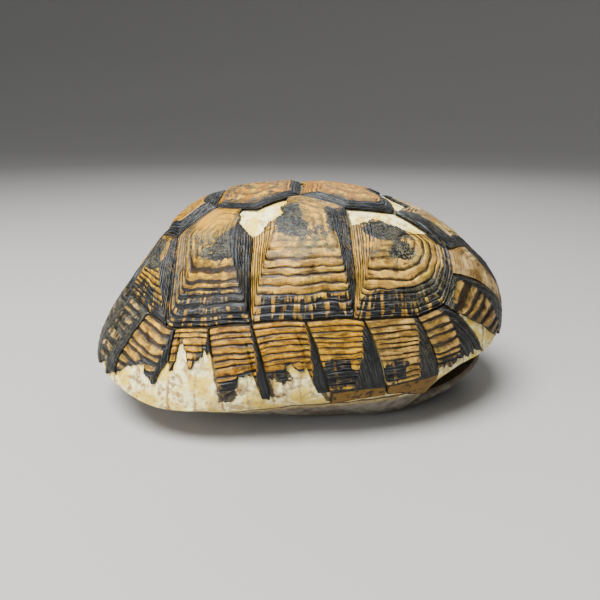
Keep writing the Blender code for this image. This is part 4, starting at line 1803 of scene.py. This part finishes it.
        # Black bands: blue-black and brown-black, with a few pale threads; the blue tint and the grey
        # streaks and specks are partly painted sheen, and the grooves are darkened as painted shade.
        black = tinted(self.black, self.brown_black, patches, 0.45, 0.62)
        black = tinted(black, self.slate, streaks, 0.52, 0.64, 0.8)
        threads = add(Kind.STEP, streaks, 0.42, 0.34)
        threads = add(Kind.TIMES, threads, add(Kind.STEP, blotches, 0.44, 0.58))
        black = laid_on(black, self.thread, threads, 0.75)
        black = tinted(black, self.slate, specks, 0.62, 0.72, 0.45)
        black = laid_on(black, self.groove, groove, 0.85)

        # Dust on the oldest horn, and the brown horn that folds in under the rim, darkened as painted shade.
        colour = add(Kind.BLEND, is_black, amber, black)
        dusty = add(Kind.STEP, add(Kind.ADD, specks, add(Kind.TIMES, blotches, 0.6)), 0.78, 0.9)
        dusty = add(Kind.TIMES, mix.mark("weathered"), dusty)
        colour = laid_on(colour, self.weathered, dusty, 0.8)
        belly = tinted(self.belly, self.belly_dark, blotches, 0.48, 0.66)
        belly = laid_on(belly, self.umber, is_black, 0.9)
        colour = add(Kind.BLEND, ventral, colour, belly)
        colour = add(Kind.BLEND, 1.0, colour, self.patina, blend_type="MULTIPLY")

        roughness = add(Kind.STEP, streaks, 0.3, 0.7, 0.4, 0.5)
        bump = add(Kind.TIMES_ADD, streaks, 0.7, add(Kind.TIMES, specks, 0.35))
        for value, more_rough in ((dusty, 0.25), (areola, 0.1), (ventral, 0.2)):
            roughness = add(Kind.TIMES_ADD, value, more_rough, roughness)
        for value, higher in ((fibres, 0.25), (groove, -0.7)):
            bump = add(Kind.TIMES_ADD, value, higher, bump)
        bump = add(Kind.TIMES, bump, add(Kind.TIMES_ADD, ventral, -0.85, 1.0))
        return mix.finish(colour, roughness, bump, self.ior, self.relief, self.coat)


@dataclass(frozen=True)
class DryBone:
    """Bone that has dried in the open: chalky, matt, with fine pores and brown seams.

    The eye gets cream and ivory patches, darker yellow and brown stains low down, dust in the pores, black
    flakes where horn still clings, grey-white chalk on the plastron darkened as painted shade, dark seams
    that are mostly painted shade where horn lies beside them, and an inside darkened as painted shade over
    its own dried remnants.
    """

    name: str = "sun_dried_bone"
    cream: str = "#e8c850"
    ivory: str = "#fff6b4"
    yellow: str = "#cda63c"
    brown: str = "#8a6634"
    dirt: str = "#8a826a"
    # The plastron's chalk and grey are darkened as painted shade.
    chalk: str = "#6e685c"
    grey: str = "#443f36"
    seam: str = "#241509"
    flake: str = "#1b1610"
    pore: str = "#7d5f38"
    # The inner face's colour: painted shade over its own dried remnants.
    inside: str = "#3d3222"
    rust: str = "#8a4f1d"
    ior: float = 1.5
    patch_mm: float = 7.0
    stain_mm: float = 2.5
    # Real grit and pores are 0.1 to 0.3 mm wide. They are too fine to show in the render, so they are drawn
    # about three times as coarse.
    grit_mm: float = 0.4
    pore_mm: float = 0.9
    # Half the widths of the rim's seams and sutures, as shares of a scute's width.
    seam_edge: float = 0.032
    seam_core: float = 0.01
    suture_edge: float = 0.03
    suture_core: float = 0.006
    relief: float = 0.16 * MM

    def material(self) -> bpy.types.Material:
        """Builds the material.

        Returns:
            The material.
        """
        mix = Recipe(self.name)
        add, swing, tinted, laid_on = mix.add, mix.swing, mix.tinted, mix.laid_on
        place = add(Kind.PLACE)
        _, side, height = add(Kind.SPLIT, place).node.outputs
        remnant, weathered, band = mix.mark("remnant"), mix.mark("weathered"), mix.mark("rim_band")
        patches = add(Kind.NOISE, place, 1 / (self.patch_mm * MM), 3.0, 0.55)
        stains = add(Kind.NOISE, place, 1 / (self.stain_mm * MM), 4.0, 0.65)
        grit = add(Kind.NOISE, place, 1 / (self.grit_mm * MM), 2.0, 0.6)
        cells = add(Kind.CELLS, place, 1 / (self.pore_mm * MM))
        pores = add(Kind.TIMES, add(Kind.STEP, cells, 0.28, 0.14), add(Kind.STEP, stains, 0.45, 0.6))

        # Cream and ivory patches, yellow and brown stains low down, dirt round the flakes.
        colour = tinted(self.cream, self.ivory, patches, 0.42, 0.56)
        colour = tinted(colour, self.yellow, stains, 0.5, 0.66, 0.8)
        low = add(Kind.TIMES, add(Kind.STEP, height, 21 * MM, 8 * MM), add(Kind.STEP, stains, 0.34, 0.6))
        colour = laid_on(colour, self.yellow, low, 0.85)
        near_flake = add(Kind.STEP, remnant, 0.02, 0.2)
        dirty = add(Kind.TIMES, near_flake, add(Kind.STEP, stains, 0.38, 0.58))
        colour = laid_on(colour, self.dirt, dirty, 0.7)
        both = add(Kind.TIMES_ADD, patches, 1.2, stains)
        brown = add(Kind.TIMES_ADD, mix.mark("tan"), 0.6, 0.3)
        brown = add(Kind.TIMES, add(Kind.STEP, both, 1.08, 1.3), brown)
        colour = add(Kind.BLEND, brown, colour, self.brown)
        # The plastron's chalk and grey, darkened as painted shade.
        chalk = tinted(self.chalk, self.grey, both, 0.95, 1.3)
        chalk = tinted(chalk, self.rust, both, 1.36, 1.5, 0.5)
        colour = add(Kind.BLEND, weathered, colour, chalk)
        # Painted shade on the inner face, over its own dark remnants.
        colour = laid_on(colour, self.inside, mix.mark("areola"), 0.85)
        colour = laid_on(colour, self.pore, pores, 0.7)
        colour = tinted(colour, self.pore, grit, 0.58, 0.7, 0.4)

        # Brown seams between the rim's scutes, and dotted sutures halfway between them.
        part = add(Kind.PART, add(Kind.ADD, swing(stains, 0.12), mix.mark("rim_place")))
        to_suture = add(Kind.SIZE, add(Kind.LESS, part, 0.5))
        to_seam = add(Kind.LESS, 0.5, to_suture)
        seam_line = add(Kind.STEP, to_seam, self.seam_edge, self.seam_core)
        dots = add(Kind.STEP, grit, 0.42, 0.56)
        suture = add(Kind.TIMES, add(Kind.STEP, to_suture, self.suture_edge, self.suture_core), dots)
        lines = add(Kind.TIMES, band, add(Kind.TIMES_ADD, suture, 0.7, add(Kind.TIMES, seam_line, 0.8)))
        lines = add(Kind.TIMES, lines, add(Kind.STEP, stains, 0.3, 0.5), use_clamp=True)

        # The seams between the plastron's plates.
        midline = add(Kind.SIZE, add(Kind.ADD, swing(patches, 2.5 * MM), side))
        plate = add(Kind.SIZE, add(Kind.ADD, mix.mark("plate_seam"), swing(patches, 1.0)))
        midline = add(Kind.STEP, midline, 0.5 * MM, 0.15 * MM)
        plate = add(Kind.LARGER, add(Kind.STEP, plate, 0.5, 0.15), midline)
        below = add(Kind.TIMES, band, -1.0, use_clamp=True)
        lines = add(Kind.LARGER, lines, add(Kind.TIMES, plate, below))
        colour = add(Kind.BLEND, lines, colour, add(Kind.BLEND, below, self.brown, self.seam))

        # The dark edge of the plastron, the scutes' own seams, dark mostly as painted shade where horn lies
        # beside them, and the flakes of horn that still cling.
        fold = add(Kind.SIZE, add(Kind.LESS, add(Kind.ADD, swing(patches, 0.5), weathered), 0.45))
        colour = tinted(colour, self.seam, fold, 0.14, 0.05, 0.95)
        # Painted shade along the covered seams, from the black mark.
        seam = add(Kind.STEP, add(Kind.TIMES_ADD, stains, 0.5, mix.mark("black")), 0.72, 0.95)
        colour = laid_on(colour, self.seam, seam, 0.9)
        flake = add(Kind.STEP, add(Kind.ADD, swing(stains, 2.6), remnant), 0.55, 0.68)
        flake = add(Kind.TIMES, flake, near_flake)
        colour = laid_on(colour, self.flake, flake, 0.93)

        roughness = add(Kind.STEP, stains, 0.3, 0.7, 0.55, 0.75)
        bump = stains
        for value, higher in ((grit, 0.3), (pores, -0.6), (flake, 0.8), (lines, -0.8)):
            bump = add(Kind.TIMES_ADD, value, higher, bump)
        return mix.finish(colour, roughness, bump, self.ior, self.relief)


# --- The whole shell -------------------------------------------------------------------------------------

F, R, T, B = Edge.FRONT, Edge.REAR, Edge.TOP, Edge.FOOT


@dataclass
class HornArmour:
    """All the scutes: five vertebrals, four pleurals and eleven marginals a side, nuchal and supracaudal."""

    vertebrals: tuple = (
        (((0, 0.715), NECK, SHOULDER, V1_V2, (10, 0.395)), (F, F, T, R), Areola((0, 0.54), 9, 6, 6),
         Banding(0.5, 0.9, 0.9, 0.62, 0.3, 1.0, -0.5, 0.1)),
        (((0, 0.3), V1_V2, P1_P2_TOP, V2_V3, (0, 0.045)), (F, T, T, R), Areola((0, 0.165), 17, 9, 9),
         Banding(0.12, 0.9, 1.0, 0.06, 0.32, -0.6, -0.3)),
        (((0, 0.035), V2_V3, P2_P3_TOP, V3_V4, (180, 0.25)), (F, T, T, R), Areola((180, 0.115), 17, 10, 10),
         Banding(0.2, 0.9, 1.1, 0.06, 0.5, -0.6, -0.1)),
        (((180, 0.26), V3_V4, P3_P4_TOP, V4_V5, (180, 0.52)), (F, T, T, R), Areola((180, 0.4), 9, 6, 6),
         Banding(0.15, 0.9, 1.0, 0.34, 0.3, -0.5, 0.0)),
        (((180, 0.53), V4_V5, HIP, TAIL, (180, 0.714)), (F, T, T, R), Areola((180, 0.62), 8, 4, 4),
         Banding(0.1, 0.9, 0.8, 0.4, 0.4, 0.1)),
    )
    pleurals: tuple = (
        ((V1_V2, SHOULDER, M1_M2, M2_M3, M3_M4, M4_M5, P1_P2_FOOT, P1_P2_TOP), (T, F, F, B, B, B, R, T),
         Areola((60, 0.49), 9, 6.5, 7), Banding(0.72, 0.62, 1.3, 0.6, 0.45, 0.32, 0.2)),
        ((P1_P2_TOP, P1_P2_FOOT, M5_M6, P2_P3_FOOT, P2_P3_TOP, V2_V3), (F, B, B, R, T, T),
         Areola((85, 0.42), 10.8, 11, 8), Banding(0.04, 0.66, 1.3, 0.85, 0.42, 0.2, 0.25)),
        ((P2_P3_TOP, P2_P3_FOOT, M7_M8, M8_M9, P3_P4_FOOT, P3_P4_TOP, V3_V4), (F, B, B, B, R, T, T),
         Areola((120, 0.44), 9.5, 10, 8), Banding(0.04, 0.56, 0.9, 0.85, 0.6, 0.0, 1.15)),
        ((P3_P4_TOP, P3_P4_FOOT, M9_M10, M10_M11, HIP, V4_V5), (F, B, B, R, R, T),
         Areola((149, 0.585), 6.5, 6, 5), Banding(0.06, 0.42, 0.6, 0.5, 0.6, 0.0, 0.6)),
    )
    broken_pleurals: dict = field(default_factory=lambda: {
        1: ((74, 0.33), (68.3, 0.39), (67.9, 0.425), (62.7, 0.412), (57.2, 0.41), (54, 0.43),
            (51.2, 0.46), (49.5, 0.486), (45.5, 0.495), (40, 0.49)),
        2: ((90, 0.2), (89.6, 0.29), (92.8, 0.318), (90.8, 0.352), (91.4, 0.365), (96.3, 0.388),
            (97.3, 0.4), (98.2, 0.43), (99.2, 0.447), (101.2, 0.452), (108, 0.43)),
        3: ((99, 0.44), (102.9, 0.448), (105.3, 0.43), (111.2, 0.386), (117, 0.335), (118, 0.25)),
    })
    marginal_tops: tuple = (
        (NECK, SHOULDER, M1_M2), (M1_M2, M2_M3), (M2_M3, M3_M4), (M3_M4, M4_M5),
        (M4_M5, P1_P2_FOOT, M5_M6), (M5_M6, P2_P3_FOOT), (P2_P3_FOOT, M7_M8), (M7_M8, M8_M9),
        (M8_M9, P3_P4_FOOT, M9_M10), (M9_M10, M10_M11), (M10_M11, HIP, TAIL),
    )
    wedges: tuple = (
        (0.5, 0.85), (0.12, 0.5), (0.2, 0.62), (0.08, 0.44), (0.04, 0.58), (0.03, 0.27),
        (0.03, 0.27), (0.03, 0.3), (0.06, 0.35), (0.08, 0.45), (0.08, 0.4),
    )
    broken_marginals: dict = field(default_factory=lambda: {
        2: ((0, 1.0), (0.5, 1.0), (0.62, 0.985), (0.74, 0.91), (0.86, 0.86), (0.97, 0.8), (1, 0.8)),
        3: ((0, 0.97), (1, 0.985)),
        4: ((0, 1.02), (0.2, 1.42), (0.45, 1.25), (0.75, 1.14), (1, 1.12)),
        5: ((0, 1.12), (0.5, 1.14), (1, 1.19)),
        6: ((0, 1.0), (0.21, 1.0), (0.27, 0.9), (0.6, 0.895), (0.66, 0.94), (0.93, 0.945), (1, 0.92)),
        7: ((0, 0.995), (0.2, 0.99), (0.27, 0.91), (0.55, 0.9), (0.64, 0.95), (0.95, 0.955), (1, 0.94)),
        8: ((0, 0.83), (0.18, 0.8), (0.3, 0.845), (0.55, 0.845), (0.7, 0.81), (0.82, 0.785), (0.86, 0.84),
            (1, 0.85)),
        9: ((0, 0.85), (0.12, 0.87), (0.2, 0.93), (0.3, 0.93), (0.4, 0.885), (0.7, 0.89), (1, 0.955)),
        10: ((0, 0.965), (0.3, 0.985), (0.6, 0.96), (1, 0.975)),
    })
    rim_looks: dict = field(default_factory=lambda: {
        1: RimLook(0.15, 0.85, -0.7, 0.0, 12),
        2: RimLook(0.62, 0.45, 1.2, 0.1, 7),
        3: RimLook(0.48, 0.4, 0.7, 0.0, 8),
        4: RimLook(0.42, 0.4, 0.15, 0.0, 11),
        5: RimLook(0.45, -0.2, 0.15, 0.0, 12),
        6: RimLook(0.45, -0.35, 0.2, 0.0, 12),
        7: RimLook(0.48, -0.4, 0.45, 0.0, 11),
        9: RimLook(0.75, 0.1, 0.8, 0.0, 9),
        10: RimLook(1.5, 0.5, 1.1, 0.25, 8),
        11: RimLook(1.9, 0.5, 0.8, 0.35, 9),
    })
    end_look: RimLook = RimLook(areola_dark=0.9, rings=7)
    bridge_marginals: tuple = (4, 5, 6, 7)
    bridge_end: float = 1.16
    under_rows: int = 12
    fourth_end: tuple = ((0, 1.0), (0.25, 1.4), (0.5, 1.16), (1, 1.16))

    def all_large(self) -> list[LargeScute]:
        """Lists the vertebral and pleural scutes.

        Returns:
            The scutes.
        """
        scutes = []
        for number, (corners, edges, areola, banding) in enumerate(self.vertebrals, 1):
            rings = RingGrowth(count=6, seed=number + 10)
            scutes.append(LargeScute(
                f"vertebral_{number}", Side.RIGHT, corners, edges, areola, banding, rings,
                mirrored=True, ring_rows=54, black_turn=0.12,
            ))
        for side in Side:
            for number, (corners, edges, areola, banding) in enumerate(self.pleurals, 1):
                rings = RingGrowth(count=8, seed=number + 20)
                broken = self.broken_pleurals.get(number, ()) if side is Side.RIGHT else ()
                scutes.append(LargeScute(
                    f"pleural_{number}_{side.letter}", side, corners, edges, areola, banding, rings, broken,
                ))
        return scutes

    def all_rim(self) -> list[RimScute]:
        """Lists the marginal scutes, the nuchal and the supracaudal.

        Returns:
            The scutes.
        """
        scutes = []
        for side in Side:
            for number, top in enumerate(self.marginal_tops, 1):
                reach = self.bridge_end if number in self.bridge_marginals else 1.0
                end = self.fourth_end if number == 4 else ((0, reach), (1, reach))
                if side is Side.RIGHT:
                    end = self.broken_marginals.get(number, end)
                look = self.rim_looks.get(number, RimLook())
                rings = RingGrowth(count=look.rings, narrowing=0.97, seed=number + 40)
                folded = max(share for _, share in end) > 1
                scutes.append(RimScute(
                    f"marginal_{number}_{side.letter}", side, top, RIM_SEAMS[number - 1 : number + 1], end,
                    self.wedges[number - 1], look, rings, under_rows=self.under_rows if folded else 0,
                ))
        for name, corner, azimuth in (("nuchal", NECK, RIM_SEAMS[0]), ("supracaudal", TAIL, RIM_SEAMS[-1])):
            scutes.append(RimScute(
                name, Side.RIGHT, (corner,), (azimuth, azimuth), ((0, 1.0), (1, 1.0)), (0.1, 0.3),
                self.end_look, RingGrowth(count=self.end_look.rings, seed=61), both_sides=True,
            ))
        return scutes

    def build(self, horn: bpy.types.Material, black_horn: bpy.types.Material) -> None:
        """Builds and dresses the scutes.

        Args:
            horn: The horn of most scutes.
            black_horn: The darker horn of the nuchal and the supracaudal.
        """
        for scute in self.all_large():
            dress(scute.build(), horn, scute.name)
        for scute in self.all_rim():
            if scute.both_sides:
                dress(scute.build(), black_horn, scute.name)
            else:
                dress(scute.build(), horn, scute.name)

    def seam_lines(self) -> tuple[list[Points], list[Points]]:
        """Every seam between scutes, as points on the bone.

        Returns:
            The stretches with horn beside them, and the bare ones.
        """
        covered, bare = [], []
        for scute in self.all_large():
            outline = scute.outline()[0]
            kept = scute.kept(outline)
            points = FORM.on_bone(outline)
            covered.append(points[kept])
            bare.append(points[~kept])
        for scute in self.all_rim():
            ends = scute.lines(np.array([0.0, 1.0]))
            for index, (_, end) in enumerate((scute.end[0], scute.end[-1])):
                side = np.linspace(ends[0][index], ends[1][index] * max(end, 1.0), 70)
                side = side[np.linalg.norm(side, axis=-1) <= end]
                covered.append(FORM.on_bone(wandering(side)))
        return covered, bare


# --- Studio ----------------------------------------------------------------------------------------------


@dataclass
class Studio:
    """A pale floor, soft lamps, and the camera where the photograph was taken from."""

    eye: Place = (1.7 * MM, -196.5 * MM, 97.2 * MM)
    pitch_degrees: float = 18.19
    yaw_degrees: float = 0.43
    focal_pixels: float = 537.4
    sensor_mm: float = 36.0
    floor_profile: tuple = ((1.3, 0.0), (1.7, 0.02), (2.1, 0.12), (2.5, 0.36), (2.8, 0.8), (2.95, 1.4))
    floor_columns: int = 96
    floor_colour: str = "#a09e9b"
    floor_roughness: float = 0.85
    lamps: tuple = (
        ("key", (-0.2, -0.24, 0.74), 0.45, 20.0),
        ("fill", (-0.6, -0.5, 0.3), 0.6, 5.4),
        ("back", (0.15, 0.6, 0.6), 0.6, 1.8),
    )
    lamp_target: Place = (0.0, 0.0, 0.03)
    room_colour: str = "#e8ebf0"
    room_strength: float = 0.31

    def build(self) -> None:
        """Sets everything up."""
        self.floor()
        for name, place, size, watts in self.lamps:
            self.lamp(name, place, size, watts)
        self.sky()
        self.camera()

    def floor(self) -> None:
        """The plain floor, which sweeps up far away from the shell on all sides."""
        angles = np.arange(self.floor_columns) * 2 * math.pi / self.floor_columns
        across, up = np.array(self.floor_profile).T[..., None]
        rings = np.stack([across * np.cos(angles), across * np.sin(angles), up + 0 * angles], -1)
        points = np.concatenate([[[0.0, 0.0, 0.0]], rings.reshape(-1, 3)])
        count, faces = self.floor_columns, []
        for column in range(count):
            after = (column + 1) % count
            faces.append((0, 1 + column, 1 + after))
            for row in range(len(rings) - 1):
                start = 1 + row * count
                faces.append((start + column, start + count + column, start + count + after, start + after))
        mesh = bpy.data.meshes.new("floor")
        mesh.from_pydata(points, [], faces)
        mesh.shade_smooth()
        floor = bpy.data.objects.new("floor", mesh)
        bpy.context.scene.collection.objects.link(floor)
        paint = Recipe("matt_floor_paint")
        paint.add(Kind.OUTPUT, paint.add(Kind.SURFACE, self.floor_colour, self.floor_roughness))
        mesh.materials.append(paint.material)

    def lamp(self, name: str, place: Place, size: float, watts: float) -> None:
        """One soft lamp.

        Args:
            name: The lamp's name.
            place: Where it is, in metres.
            size: Its width, in metres.
            watts: Its power.
        """
        data = bpy.data.lights.new(name, "AREA")
        data.shape = "DISK"
        data.size = size
        data.energy = watts
        lamp = bpy.data.objects.new(name, data)
        lamp.location = place
        lamp.rotation_euler = (Vector(self.lamp_target) - lamp.location).to_track_quat("-Z", "Y").to_euler()
        bpy.context.scene.collection.objects.link(lamp)

    def sky(self) -> None:
        """The room's even light."""
        world = bpy.data.worlds.new("room")
        world.use_nodes = True
        background = world.node_tree.nodes["Background"]
        background.inputs["Color"].default_value = linear(self.room_colour)
        background.inputs["Strength"].default_value = self.room_strength
        bpy.context.scene.world = world

    def camera(self) -> None:
        """The camera."""
        data = bpy.data.cameras.new("camera")
        data.sensor_width = self.sensor_mm
        data.lens = self.focal_pixels * self.sensor_mm / IMAGE_PIXELS
        data.clip_start = 0.01
        camera = bpy.data.objects.new("camera", data)
        camera.location = self.eye
        camera.rotation_euler = (
            math.radians(90 - self.pitch_degrees), 0.0, math.radians(self.yaw_degrees),
        )
        bpy.context.scene.collection.objects.link(camera)
        bpy.context.scene.camera = camera


def main() -> None:
    """Builds the shell and its studio."""
    logging.basicConfig(level=logging.INFO, format="%(message)s")
    armour = HornArmour()
    horn, black_horn = KeratinHorn(), KeratinHorn(name="black_keratin", always_black=0.6)
    armour.build(horn.material(), black_horn.material())
    BoneShell(*armour.seam_lines()).build(DryBone().material())
    Studio().build()


if __name__ == "__main__":
    main()
